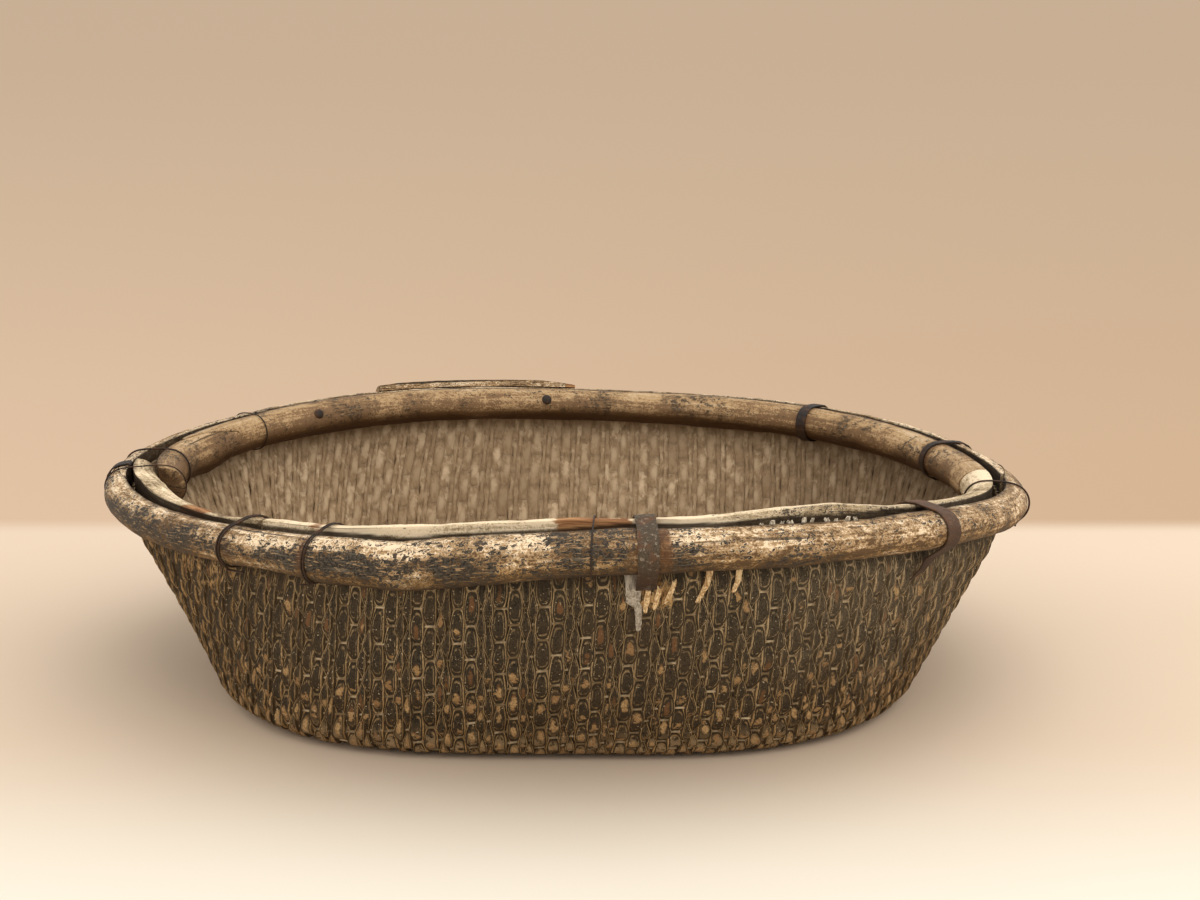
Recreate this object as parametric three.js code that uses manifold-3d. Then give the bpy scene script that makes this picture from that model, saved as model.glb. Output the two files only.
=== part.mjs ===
// Harvest basket: an oval, flared basket of woven willow under a double rim of split poles.
// Millimetres, +Z up. X is the longer way, the front is at -Y, angles run round Z from +X.
import * as THREE from 'three';
import { mergeVertices } from 'three/addons/utils/BufferGeometryUtils.js';
import Module from 'manifold-3d';

// Plan of the rim line, the middle of the wall at its top: a radius that waves round the basket
const rimRadius = 264;
const rimPlan = [
  { waves: 2, cosine: 17.6, sine: -4.0 },
  { waves: 3, cosine: -6.4, sine: 5.6 },
  { waves: 4, cosine: -0.3, sine: -1.4 },
];
// The left end is pushed out a little where both hoops are spliced
const leftBulge = 6;
const leftBulgeHalfAngle = 20;

// Height of the rim's top above the floor: both ends sag, and the front left hangs lowest
const rimHeight = 144;
const rimSag = [
  { waves: 2, cosine: -7.3, sine: -5.2 },
  { waves: 3, cosine: -1.3, sine: 1.1 },
  { waves: 4, cosine: -1.2, sine: 1.0 },
];

// Plan of the flat floor, a soft rectangle that sits a little left of the rim's centre
const floorRadius = 200;
const floorPlan = [
  { waves: 2, cosine: 21.2, sine: -1.3 },
  { waves: 4, cosine: -7.0, sine: 0 },
];
const floorShiftX = -6.6;
const floorShiftY = -1.4;

// The weave: a flared wall, a rounded foot where its rods bend under, and a flat floor
const wallThickness = 8;
const floorThickness = 8;
const edgeRadius = 21;
const wallTopDrop = 4;
const wallTopLowDrop = 10;
const matingGap = 0.3;
// The foot is parted into four arcs at the corners of its plan
const footArcs = [
  { name: 'woven_foot_right', from: -37.5, to: 37.5 },
  { name: 'woven_foot_back', from: 37.5, to: 142.5 },
  { name: 'woven_foot_left', from: 142.5, to: 217.5 },
  { name: 'woven_foot_front', from: 217.5, to: 322.5 },
];

// Rim poles: each is a pole split lengthwise, with its flat face against the wall
const hoopTilt = 3;
const outerHoopThickness = 14.2;
const outerHoopHeight = 25.5;
const innerHoopThickness = 16;
const innerHoopHeight = 25;
const hoopRoundness = 0.8;
const kneeBelowHoops = 5;
// The front poles swell, thin and wander: share of the hoop's height, and lift, by angle
const outerFrontSwell = [
  [-186, 0.95], [-165, 0.88], [-145, 0.87], [-129, 0.88], [-121, 1.03], [-111, 1.05],
  [-105, 1.06], [-99, 1.02], [-90, 0.93], [-84, 0.96], [-75, 0.9], [-65, 0.9], [-55, 0.82],
  [-48, 0.88], [-36, 0.83], [-20, 0.86], [-4, 0.97],
];
const outerFrontLift = [
  [-170, 0], [-158, -1.4], [-145, -1.2], [-129, -0.7], [-118, -0.5], [-111, -1.6],
  [-105, 1], [-99, 2], [-84, 2.5], [-79, 0.7], [-70, -0.7], [-55, -2.8], [-48, -1],
  [-36, -0.4], [-20, 0],
];
const innerFrontLift = [
  [-165, 0], [-145, -2], [-135, 1.6], [-121, 2], [-111, 4.2], [-105, 5.2], [-99, 6],
  [-90, 6.2], [-84, 4], [-75, 2.5], [-70, 3], [-65, 3.8], [-57, 4.4], [-48, 0.4], [-20, 0],
];
const outerBackShare = 0.97;
// Poles that butt end to end stand this far apart
const buttGap = 0.9;
// The end block is a little stouter than the pole beside it
const endBlockThickening = 1.06;
const endBlockHeightening = 1.02;

// The front left pole narrows to a blunt round tip that climbs over the cut wall top
const frontTipThickness = 13;
const frontTipHeight = 12;
const frontTipBluntness = 0.45;
const frontTipGap = 1.6;
const climbHeight = 17;
const tipClearance = 2.5;
// The back left pole swells where it swerves inboard past that tip
const tipPassGap = 1.1;
const backLeftSwells = [[156, 1], [162, 1.2], [170, 1.1], [184, 1.08]];

// Scarf joints: the two poles taper past each other to a thin tip
const scarfTip = 2;
const scarfShoulder = 3;

// Bindings
const strapThickness = 1;
const frontStrapWidth = 11;
const rightStrapWidth = 12;
const backStrapWidth = 8;
const backRightStrapWidth = 6;
const leftStrapWidth = 10;
const thickWire = 1.5;
const thinWire = 1.1;
const wireSpace = 0.6;
const bindingGap = 0.5;
const slotClearance = 0.4;
const frontTabLength = 3;
const backTabLength = 4;
const tabBelowHoop = 3.2;
const tailBelowLoop = 1.4;
const tailInset = 2;
// Share of the way back up to the loop at the tail's last bend
const tailBend = { off: 0.2, rise: 0.5 };
const endInWall = 1.5;

// Iron nails that pin the back pole
const nailHeadRadius = 4;
const nailHeadHeight = 1.8;
const nailHeadRim = 0.6;
const nailShankRadius = 1.6;
const nailLength = 31;
const nailPoint = 6;
const nailSlope = 17;
const nailSeatTurn = 24;

// Splice strip that lies along the back of the outer hoop
const spliceThickness = 5;
const spliceGap = 0.5;
const spliceTopTurn = 84;
const spliceLowTurn = 28;
const spliceTaper = [[91, 0.35], [96, 1], [125.5, 1], [127, 0.8]];

// Angles of the joints and bindings, in degrees
const stationStep = 3.75;
const leftScarf = { from: 174, to: 186 };
const rightScarf = { from: -4, to: 8 };
const frontScarf = { from: -92, to: -80 };
const backScarf = { from: 156, to: 166 };
const crackAngle = -134.8;
const frontTipAngle = -183;
const frontTipSpan = 3.5;
const climbFrom = -170;
const fullHeightFrom = -158;
const backTipAngle = 184;
const backSwerve = [[148, 0], [165, 0.16], [177, 0.64], [backTipAngle, 1]];
const endBlockFrom = -1.6;
const endBlockTo = 4.6;
const spliceStripSpan = { from: 91, to: 127 };

// Mesh steps and tolerances
const edgeSteps = 5;
const poleSteps = 10;
const loopSteps = 24;
const wireSides = 6;
const nailSides = 12;
const mergeTolerance = 1e-4;
const bendTolerance = 0.06;

const degrees = Math.PI / 180;
const up = new THREE.Vector3(0, 0, 1);
const wasm = await Module();
wasm.setup();

// Sum of waves round the basket
function waveSum(waves, angle) {
  let sum = 0;
  for (const wave of waves) {
    sum += wave.cosine * Math.cos(wave.waves * angle * degrees);
    sum += wave.sine * Math.sin(wave.waves * angle * degrees);
  }
  return sum;
}

// Straight-line reading between [angle, value] pairs, level before the first and after the last
function along(angle, pairs) {
  if (angle <= pairs[0][0]) return pairs[0][1];
  for (let i = 1; i < pairs.length; i += 1) {
    const [a, va] = pairs[i - 1];
    const [b, vb] = pairs[i];
    if (angle <= b) return va + ((vb - va) * (angle - a)) / (b - a);
  }
  return pairs[pairs.length - 1][1];
}

// The same angle between -180 and 180
function wrapped(angle) {
  return ((((angle + 180) % 360) + 360) % 360) - 180;
}

function rimPoint(angle) {
  const fromLeft = wrapped(angle - 180) / leftBulgeHalfAngle;
  const radius = rimRadius + waveSum(rimPlan, angle) + leftBulge * Math.exp(-fromLeft * fromLeft);
  const height = rimHeight + waveSum(rimSag, angle);
  return new THREE.Vector3(
    radius * Math.cos(angle * degrees), radius * Math.sin(angle * degrees), height);
}

// Frame of the rim's cross-section: out is away from the basket, rise is up along the hoops
function rimFrame(angle) {
  const nudge = 0.01;
  const run = rimPoint(angle + nudge).sub(rimPoint(angle - nudge)).normalize();
  const out = run.clone().cross(up).normalize();
  const tilt = hoopTilt * degrees;
  return {
    origin: rimPoint(angle),
    run,
    out: out.clone().multiplyScalar(Math.cos(tilt)).addScaledVector(up, -Math.sin(tilt)),
    rise: out.clone().multiplyScalar(Math.sin(tilt)).addScaledVector(up, Math.cos(tilt)),
  };
}

function place(frame, off, rise, run = 0) {
  return frame.origin.clone()
    .addScaledVector(frame.out, off)
    .addScaledVector(frame.rise, rise)
    .addScaledVector(frame.run, run);
}

// Angles of the cross-sections from one end of a piece to the other
function stations(from, to) {
  const leastStep = 0.5;
  const angles = [from];
  const first = Math.ceil((from + leastStep) / stationStep);
  const last = Math.floor((to - leastStep) / stationStep);
  for (let i = first; i <= last; i += 1) angles.push(i * stationStep);
  angles.push(to);
  return angles;
}

function allRound() {
  const angles = [];
  for (let i = 0; i < 360 / stationStep; i += 1) angles.push(i * stationStep);
  return angles;
}

// Closed body from points and triangles, turned so that its faces point out
function body(points, triangles) {
  let volume = 0;
  for (const [a, b, c] of triangles) {
    volume += points[a].dot(points[b].clone().cross(points[c]));
  }
  const index = triangles.flatMap(([a, b, c]) => (volume < 0 ? [a, c, b] : [a, b, c]));
  const geometry = new THREE.BufferGeometry();
  const position = new Float32Array(points.flatMap((point) => point.toArray()));
  geometry.setAttribute('position', new THREE.BufferAttribute(position, 3));
  geometry.setIndex(index);
  return geometry;
}

// End cap: a ladder of triangles between the two halves of a ring
function ladder(count) {
  const triangles = [];
  for (let low = 0, high = count - 1; low + 1 < high; low += 1, high -= 1) {
    triangles.push([low, low + 1, high]);
    if (low + 1 < high - 1) triangles.push([low + 1, high - 1, high]);
  }
  return triangles;
}

// Skin over rings of equal point counts, closed on itself or capped at both ends
function loft(rings, closed) {
  const count = rings[0].length;
  const points = rings.flat();
  const triangles = [];
  const spans = closed ? rings.length : rings.length - 1;
  for (let i = 0; i < spans; i += 1) {
    const next = (i + 1) % rings.length;
    for (let j = 0; j < count; j += 1) {
      const k = (j + 1) % count;
      const corner = [i * count + j, next * count + j, next * count + k, i * count + k];
      triangles.push([corner[0], corner[1], corner[2]], [corner[0], corner[2], corner[3]]);
    }
  }
  if (!closed) {
    const last = (rings.length - 1) * count;
    for (const [a, b, c] of ladder(count)) {
      triangles.push([a, b, c], [last + a, last + c, last + b]);
    }
  }
  return body(points, triangles);
}

// Booleans
function toSolid(geometry) {
  const bare = geometry.clone();
  bare.deleteAttribute('normal');
  bare.deleteAttribute('uv');
  const merged = mergeVertices(bare, mergeTolerance);
  return new wasm.Manifold(new wasm.Mesh({
    numProp: 3,
    vertProperties: new Float32Array(merged.attributes.position.array),
    triVerts: new Uint32Array(merged.index.array),
  }));
}

function cut(geometry, cutters) {
  let solid = toSolid(geometry);
  for (const cutter of cutters) solid = solid.subtract(toSolid(cutter));
  const mesh = solid.getMesh();
  const result = new THREE.BufferGeometry();
  result.setAttribute('position', new THREE.BufferAttribute(mesh.vertProperties, 3));
  result.setIndex(new THREE.BufferAttribute(mesh.triVerts, 1));
  return result;
}

// Where the flat floor ends and the rounded foot starts to turn up
function floorEdge(angle) {
  const radius = floorRadius + waveSum(floorPlan, angle);
  return new THREE.Vector3(
    floorShiftX + radius * Math.cos(angle * degrees),
    floorShiftY + radius * Math.sin(angle * degrees), 0);
}

// How far the wall's cut top edge lies below the rim's top, by angle
const wallTopDrops = [
  [-186, wallTopDrop], [-184.5, frontTipHeight + tipClearance],
  [-168, climbHeight + tipClearance], [-165.5, wallTopDrop],
  [-156, wallTopDrop], [-150, wallTopLowDrop], [-112, wallTopLowDrop], [-106, wallTopDrop],
];
function wallTop(angle) {
  const turned = wrapped(angle);
  return -along(turned > 170 ? turned - 360 : turned, wallTopDrops);
}

// The flare: a straight slope from the knee under the hoops to the rounded foot
function flare(angle) {
  const frame = rimFrame(angle);
  const knee = -(Math.max(outerHoopHeight, innerHoopHeight) + kneeBelowHoops);
  const outerKnee = place(frame, wallThickness / 2, knee);
  const innerKnee = place(frame, -wallThickness / 2, knee);
  const foot = floorEdge(angle);
  const away = outerKnee.clone().sub(foot).setZ(0);
  const reach = away.length();
  away.normalize();
  const rise = outerKnee.z - edgeRadius;
  const turn = Math.atan2(rise, reach) - Math.acos(edgeRadius / Math.hypot(reach, rise));
  return { frame, outerKnee, innerKnee, foot, away, turn };
}

// Point on the rounded foot, a radius away from the middle of its bend
function edgePoint({ foot, away }, radius, turn) {
  return foot.clone()
    .addScaledVector(away, radius * Math.cos(turn))
    .addScaledVector(up, edgeRadius + radius * Math.sin(turn));
}

function wallRing(angle) {
  const shape = flare(angle);
  const half = wallThickness / 2;
  const outerFoot = edgePoint(shape, edgeRadius, shape.turn);
  const innerFoot = edgePoint(shape, edgeRadius - wallThickness, shape.turn);
  const slope = shape.outerKnee.clone().sub(outerFoot).normalize();
  return [
    place(shape.frame, half, wallTop(angle)),
    shape.outerKnee,
    outerFoot.addScaledVector(slope, matingGap),
    innerFoot.addScaledVector(slope, matingGap),
    shape.innerKnee,
    place(shape.frame, -half, wallTop(angle)),
  ];
}

function footRing(angle) {
  const shape = flare(angle);
  const turns = [];
  for (let i = 0; i <= edgeSteps; i += 1) {
    turns.push(-Math.PI / 2 + ((shape.turn + Math.PI / 2) * i) / edgeSteps);
  }
  const outside = turns.map((turn) => edgePoint(shape, edgeRadius, turn));
  const inside = turns.map((turn) => edgePoint(shape, edgeRadius - wallThickness, turn));
  return [...outside, ...inside.reverse()];
}

// Arcs of the foot stand a mating gap apart
function footArc({ from, to }) {
  const half = matingGap / 2 / floorRadius / degrees;
  return loft(stations(from + half, to - half).map(footRing), false);
}

function floorMat() {
  const outline = allRound().map((angle) => {
    const { foot, away } = flare(angle);
    return foot.clone().addScaledVector(away, -matingGap);
  });
  const count = outline.length;
  const points = [
    ...outline,
    ...outline.map((point) => point.clone().setZ(floorThickness)),
    new THREE.Vector3(floorShiftX, floorShiftY, 0),
    new THREE.Vector3(floorShiftX, floorShiftY, floorThickness),
  ];
  const triangles = [];
  for (let i = 0; i < count; i += 1) {
    const j = (i + 1) % count;
    triangles.push([j, i, 2 * count], [count + i, count + j, 2 * count + 1]);
    triangles.push([i, j, count + j], [i, count + j, count + i]);
  }
  return body(points, triangles);
}

// Cross-section of a split pole as [off, rise] points; near and far are scarf cuts
function poleSection(pole, angle) {
  const inset = pole.inset(angle);
  const thickness = pole.thickness(angle);
  const height = pole.height(angle);
  const near = pole.near ? pole.near(angle) : 0;
  const far = pole.far ? pole.far(angle) : thickness;
  const lift = pole.lift ? pole.lift(angle) : 0;
  const widest = Math.acos(Math.min(1, Math.max(0, near / thickness)) ** (1 / hoopRoundness));
  const points = [];
  for (let i = 0; i <= poleSteps; i += 1) {
    const q = widest * (1 - (2 * i) / poleSteps);
    const bulge = Math.min(far, thickness * Math.max(0, Math.cos(q)) ** hoopRoundness);
    points.push([pole.side * (inset + bulge), lift + (height / 2) * (Math.sin(q) - 1)]);
  }
  return points;
}

function poleRing(pole, angle) {
  const frame = rimFrame(angle);
  return poleSection(pole, angle).map(([off, rise]) => place(frame, off, rise));
}

function pole(shape) {
  const rings = stations(shape.from, shape.to).map((angle) => poleRing(shape, angle));
  return loft(rings, false);
}

// Scarf plane, as a depth into the pole: the outer-lying pole keeps what is beyond it
function scarf(join, thickness, direction) {
  const tip = direction > 0 ? join.from : join.to;
  const root = direction > 0 ? join.to : join.from;
  const step = direction > 0 ? scarfShoulder : -scarfShoulder;
  return {
    near: [[tip, thickness - scarfTip], [root, scarfTip], [root + step, 0]],
    far: [[tip - step, thickness], [tip, thickness - scarfTip - matingGap],
      [root, scarfTip - matingGap]],
  };
}

function rising(pairs) {
  return pairs[0][0] < pairs[pairs.length - 1][0] ? pairs : [...pairs].reverse();
}

// Distance of the poles' flat faces from the wall's middle, and the butt gap as an angle
const flat = wallThickness / 2 + matingGap;
const buttTurn = buttGap / rimRadius / degrees;
const leftJoin = scarf(leftScarf, outerHoopThickness, 1);
const rightJoin = scarf(rightScarf, outerHoopThickness, -1);
const frontJoin = scarf(frontScarf, innerHoopThickness, 1);
const backJoin = scarf(backScarf, innerHoopThickness, 1);
const turnBack = (pairs) => pairs.map(([angle, value]) => [angle - 360, value]);

const outerFront = {
  side: 1,
  from: leftScarf.from - 360,
  to: rightScarf.to,
  inset: () => flat,
  thickness: () => outerHoopThickness,
  height: (angle) => outerHoopHeight * along(angle, outerFrontSwell),
  lift: (angle) => along(angle, outerFrontLift),
  near: (angle) => (angle < -90
    ? along(angle, rising(turnBack(leftJoin.near)))
    : along(angle, rising(rightJoin.near))),
};
const outerBack = {
  side: 1,
  from: rightScarf.from,
  to: leftScarf.to,
  inset: () => flat,
  thickness: () => outerHoopThickness,
  height: () => outerHoopHeight * outerBackShare,
  far: (angle) => (angle < 90
    ? along(angle, rising(rightJoin.far))
    : along(angle, rising(leftJoin.far))),
};
// Share of the full section that the front left pole's tip has, round at its end
function tipRound(angle) {
  const toEnd = Math.min(1, (angle - frontTipAngle) / frontTipSpan);
  const bow = Math.sqrt(1 - (1 - toEnd) ** 2);
  return frontTipBluntness + (1 - frontTipBluntness) * bow;
}
const innerFrontLeft = {
  side: -1,
  from: frontTipAngle,
  to: crackAngle - buttTurn,
  inset: (angle) => along(angle, [[frontTipAngle, frontTipGap - flat], [climbFrom, flat]]),
  thickness: (angle) => tipRound(angle)
    * along(angle, [[frontTipAngle, frontTipThickness], [climbFrom, innerHoopThickness]]),
  height: (angle) => tipRound(angle) * along(angle, [
    [frontTipAngle, frontTipHeight], [climbFrom, climbHeight], [fullHeightFrom, innerHoopHeight]]),
  lift: (angle) => along(angle, innerFrontLift),
};
const innerFrontMid = {
  side: -1,
  from: crackAngle + buttTurn,
  to: frontScarf.to,
  inset: () => flat,
  thickness: () => innerHoopThickness,
  height: () => innerHoopHeight,
  lift: (angle) => along(angle, innerFrontLift),
  far: (angle) => along(angle, rising(frontJoin.far)),
};
const innerFrontRight = {
  side: -1,
  from: frontScarf.from,
  to: endBlockFrom - buttTurn,
  inset: () => flat,
  thickness: () => innerHoopThickness,
  height: () => innerHoopHeight,
  lift: (angle) => along(angle, innerFrontLift),
  near: (angle) => along(angle, rising(frontJoin.near)),
};
const innerEndBlock = {
  side: -1,
  from: endBlockFrom,
  to: endBlockTo,
  inset: () => flat,
  thickness: () => innerHoopThickness * endBlockThickening,
  height: () => innerHoopHeight * endBlockHeightening,
};
// The back pole swerves inboard until its end stands clear of the front left pole's tip
const besideTip = backTipAngle - 360;
const swerve = innerFrontLeft.inset(besideTip) + innerFrontLeft.thickness(besideTip)
  + tipPassGap - flat;
const backPoleInset = (angle) => flat + swerve * along(angle, backSwerve);
const innerBack = {
  side: -1,
  from: endBlockTo + buttTurn,
  to: backScarf.to,
  inset: backPoleInset,
  thickness: () => innerHoopThickness,
  height: () => innerHoopHeight,
  far: (angle) => along(angle, rising(backJoin.far)),
};
const innerBackLeft = {
  side: -1,
  from: backScarf.from,
  to: backTipAngle,
  inset: backPoleInset,
  thickness: () => innerHoopThickness,
  height: (angle) => innerHoopHeight * along(angle, backLeftSwells),
  near: (angle) => along(angle, rising(backJoin.near)),
};
const poles = [outerFront, outerBack, innerFrontLeft, innerFrontMid, innerFrontRight,
  innerEndBlock, innerBack, innerBackLeft];

// Splice strip: a thin split length bent over the outer hoop's shoulder at the back
function spliceStrip() {
  const turnSteps = 5;
  const span = spliceStripSpan;
  const turnAt = (i) => spliceTopTurn + ((spliceLowTurn - spliceTopTurn) * i) / turnSteps;
  const shoulder = (turn, lift) => {
    const q = turn * degrees;
    const height = outerBack.height(0);
    const off = flat + (outerHoopThickness + lift) * Math.cos(q) ** hoopRoundness;
    return [off, (height / 2) * (Math.sin(q) - 1) + lift * Math.sin(q)];
  };
  const rings = stations(span.from, span.to).map((angle) => {
    const frame = rimFrame(angle);
    const ring = [];
    for (let i = 0; i <= turnSteps; i += 1) {
      ring.push(shoulder(turnAt(i), spliceGap));
    }
    for (let i = turnSteps; i >= 0; i -= 1) {
      ring.push(shoulder(turnAt(i), spliceGap + spliceThickness * along(angle, spliceTaper)));
    }
    return ring.map(([off, rise]) => place(frame, off, rise));
  });
  return loft(rings, false);
}

// Outline round the poles that a binding holds
function covers(shape, angle) {
  return [-360, 0, 360]
    .map((turn) => angle + turn)
    .find((turned) => turned >= shape.from && turned <= shape.to);
}

function hull(points) {
  const straight = 1e-9;
  const sorted = [...points].sort((p, q) => p[0] - q[0] || p[1] - q[1]);
  const half = (list) => {
    const chain = [];
    for (const p of list) {
      while (chain.length > 1) {
        const [a, b] = chain.slice(-2);
        const bend = (b[0] - a[0]) * (p[1] - a[1]) - (b[1] - a[1]) * (p[0] - a[0]);
        if (bend > straight) break;
        chain.pop();
      }
      chain.push(p);
    }
    return chain.slice(0, -1);
  };
  return [...half(sorted), ...half([...sorted].reverse())];
}

function stackOutline(held, angle, halfWidth) {
  const points = [];
  const reach = halfWidth / rimRadius / degrees;
  for (const side of [-1, 0, 1]) {
    for (const shape of held) {
      const turned = covers(shape, angle + side * reach);
      if (turned !== undefined) points.push(...poleSection(shape, turned));
    }
  }
  return hull(points);
}

// The outline grown by a distance, with round corners, from its lowest outer corner round
function grownOutline(outline, grow) {
  const count = outline.length;
  const cornerStep = 12 * degrees;
  const startSlope = 0.5;
  const heading = (i) => {
    const a = outline[i % count];
    const b = outline[(i + 1) % count];
    return Math.atan2(b[1] - a[1], b[0] - a[0]) - Math.PI / 2;
  };
  const points = [];
  for (let i = 0; i < count; i += 1) {
    const before = heading(i + count - 1);
    let turn = heading(i) - before;
    while (turn < 0) turn += 2 * Math.PI;
    const steps = Math.max(1, Math.ceil(turn / cornerStep));
    for (let k = 0; k <= steps; k += 1) {
      const a = before + (turn * k) / steps;
      points.push([outline[i][0] + grow * Math.cos(a), outline[i][1] + grow * Math.sin(a)]);
    }
  }
  const depth = (p) => startSlope * p[0] - p[1];
  const start = points.reduce((best, p, i) => (depth(p) > depth(points[best]) ? i : best), 0);
  return [...points.slice(start), ...points.slice(0, start + 1)];
}

// Points at equal steps along a polyline
function evenly(points, steps) {
  const lengths = [0];
  for (let i = 1; i < points.length; i += 1) {
    const run = Math.hypot(points[i][0] - points[i - 1][0], points[i][1] - points[i - 1][1]);
    lengths.push(lengths[i - 1] + run);
  }
  const total = lengths[lengths.length - 1];
  const result = [];
  let k = 1;
  for (let i = 0; i <= steps; i += 1) {
    const goal = (total * i) / steps;
    while (k < lengths.length - 1 && lengths[k] < goal) k += 1;
    const share = (goal - lengths[k - 1]) / (lengths[k] - lengths[k - 1] || 1);
    result.push([
      points[k - 1][0] + share * (points[k][0] - points[k - 1][0]),
      points[k - 1][1] + share * (points[k][1] - points[k - 1][1]),
    ]);
  }
  return result;
}

// The same line with fewer points, none of which moves it by more than the tolerance
function simplified(points, tolerance) {
  const result = [points[0]];
  let from = 0;
  while (from < points.length - 1) {
    let to = from + 1;
    for (let next = from + 2; next < points.length; next += 1) {
      const [ax, ay] = points[from];
      const [dx, dy] = [points[next][0] - ax, points[next][1] - ay];
      const size = Math.hypot(dx, dy) || 1;
      const strays = points.slice(from + 1, next)
        .some((p) => Math.abs((p[0] - ax) * dy - (p[1] - ay) * dx) / size > tolerance);
      if (strays) break;
      to = next;
    }
    result.push(points[to]);
    from = to;
  }
  return result;
}

// Rise of a loop's underside at a distance from the wall's middle
function undersideAt(loop, off) {
  let lowest = Infinity;
  for (let i = 0; i < loop.length; i += 1) {
    const a = loop[i];
    const b = loop[(i + 1) % loop.length];
    const share = (off - a[0]) / (b[0] - a[0]);
    if (share >= 0 && share <= 1) lowest = Math.min(lowest, a[1] + share * (b[1] - a[1]));
  }
  return lowest;
}

// A binding's loop, cut off where its last run has come part of the way through the wall
function cutInWall(loop) {
  const points = [...loop];
  while (points[points.length - 1][0] > endInWall) points.pop();
  return [...points, [endInWall, undersideAt(loop, endInWall)]];
}

// Wire: one tube, wound round the poles and through the wall, with a free tail outside
function wirePath(wire) {
  const pitch = wire.diameter + wireSpace;
  const loop = wireLoop(wire);
  const frame = rimFrame(wire.angle);
  const startRun = (-wire.turns * pitch) / 2;
  const points = [];
  const [startOff, startRise] = loop[0];
  const tailRise = startRise - wire.diameter - tailBelowLoop;
  const tailOff = Math.max(startOff - tailInset, wallThickness / 2 + wire.diameter);
  for (const share of [1, 0.5, 0]) {
    points.push(place(frame, tailOff, tailRise, startRun - wire.diameter - share * wire.tail));
  }
  points.push(place(
    frame, tailOff + tailBend.off * tailInset, tailRise + tailBend.rise * tailBelowLoop, startRun));
  const whole = loop.slice(0, -1);
  const turns = [...Array(wire.turns - 1).fill(whole), cutInWall(whole)].flat();
  turns.forEach(([off, rise], i) => {
    points.push(place(frame, off, rise, startRun + (pitch * i) / loopSteps));
  });
  return points;
}

function tube(points, radius) {
  let side = null;
  const rings = points.map((point, i) => {
    const before = points[Math.max(0, i - 1)];
    const after = points[Math.min(points.length - 1, i + 1)];
    const into = point.clone().sub(before);
    const onward = after.clone().sub(point);
    const forward = into.normalize().add(onward.normalize()).normalize();
    if (!side) side = forward.clone().cross(up).normalize();
    side = side.addScaledVector(forward, -side.dot(forward)).normalize();
    const other = forward.clone().cross(side);
    const ring = [];
    for (let k = 0; k < wireSides; k += 1) {
      const a = (2 * Math.PI * k) / wireSides;
      ring.push(point.clone()
        .addScaledVector(side, radius * Math.cos(a))
        .addScaledVector(other, radius * Math.sin(a)));
    }
    side = side.clone();
    return ring;
  });
  return loft(rings, false);
}

// Least gap of a wound wire to itself, between points that lie far apart along it
function windingGap(name, points, diameter) {
  const farAlong = 6;
  let least = Infinity;
  for (let i = 0; i < points.length; i += 1) {
    for (let j = i + farAlong; j < points.length; j += 1) {
      least = Math.min(least, points[i].distanceTo(points[j]) - diameter);
    }
  }
  console.log(`${name}: least gap to itself ${least.toFixed(2)} mm`);
}

// Slot through the wall for a binding: a flat channel along the binding's lowest run
function slot(loop, angle, width, depth) {
  const frame = rimFrame(angle);
  const past = 1;
  const reach = wallThickness / 2 + past;
  const rings = [reach, 0, -reach].map((off) => {
    const rise = undersideAt(loop, off);
    return [[-1, -1], [1, -1], [1, 1], [-1, 1]].map(([w, h]) => (
      place(frame, off, rise + (h * depth) / 2, (w * width) / 2)));
  });
  return loft(rings, false);
}

function wireLoop(wire) {
  const pitch = wire.diameter + wireSpace;
  const halfWidth = (wire.turns * pitch + wire.diameter) / 2;
  const outline = stackOutline(wire.held, wire.angle, halfWidth);
  return evenly(grownOutline(outline, bindingGap + wire.diameter / 2), loopSteps);
}

function wireSlot(wire) {
  const pitch = wire.diameter + wireSpace;
  const width = wire.turns * pitch + wire.diameter + 2 * slotClearance;
  return slot(wireLoop(wire), wire.angle, width, wire.diameter + 2 * slotClearance);
}

// Strap: a flat band bent round the poles, with a tab that hangs below the outer hoop
function strapLoop(strap) {
  const grow = bindingGap + strapThickness / 2;
  const outline = stackOutline(strap.held, strap.angle, strap.width / 2);
  return simplified(grownOutline(outline, grow), bendTolerance);
}

// A strap with a tab ends inside the wall; one without ends short of where it starts
function strapPath(strap) {
  const loop = strapLoop(strap);
  const points = strap.tab ? cutInWall(loop.slice(0, -1)) : loop.slice(0, -1);
  return [...(strap.tab ?? []), ...points.map(([off, rise]) => ({ off, rise }))];
}

function band(strap, grow = 0) {
  const sharpestMitre = 0.5;
  const frame = rimFrame(strap.angle);
  const path = strapPath(strap);
  const half = strapThickness / 2 + grow;
  const rings = path.map((p, i) => {
    const a = path[Math.max(0, i - 1)];
    const b = path[Math.min(path.length - 1, i + 1)];
    const into = [p.off - a.off, p.rise - a.rise];
    const onward = [b.off - p.off, b.rise - p.rise];
    const unit = (v) => {
      const size = Math.hypot(v[0], v[1]) || 1;
      return [v[0] / size, v[1] / size];
    };
    const [u, v] = [unit(into), unit(onward)];
    const across = unit([u[1] + v[1], -(u[0] + v[0])]);
    const straight = i === 0 ? v : u;
    const lean = Math.abs(across[0] * straight[1] - across[1] * straight[0]);
    const mitre = half / Math.max(sharpestMitre, lean);
    const wide = (p.width ?? strap.width) / 2 + grow;
    const shift = p.shift ?? 0;
    return [[-1, -1], [1, -1], [1, 1], [-1, 1]].map(([w, h]) => place(
      frame, p.off + h * mitre * across[0], p.rise + h * mitre * across[1], shift + w * wide));
  });
  return loft(rings, false);
}

function strapSlot(strap) {
  return slot(strapLoop(strap), strap.angle, strap.width + 2 * slotClearance,
    strapThickness + 2 * slotClearance);
}

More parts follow.
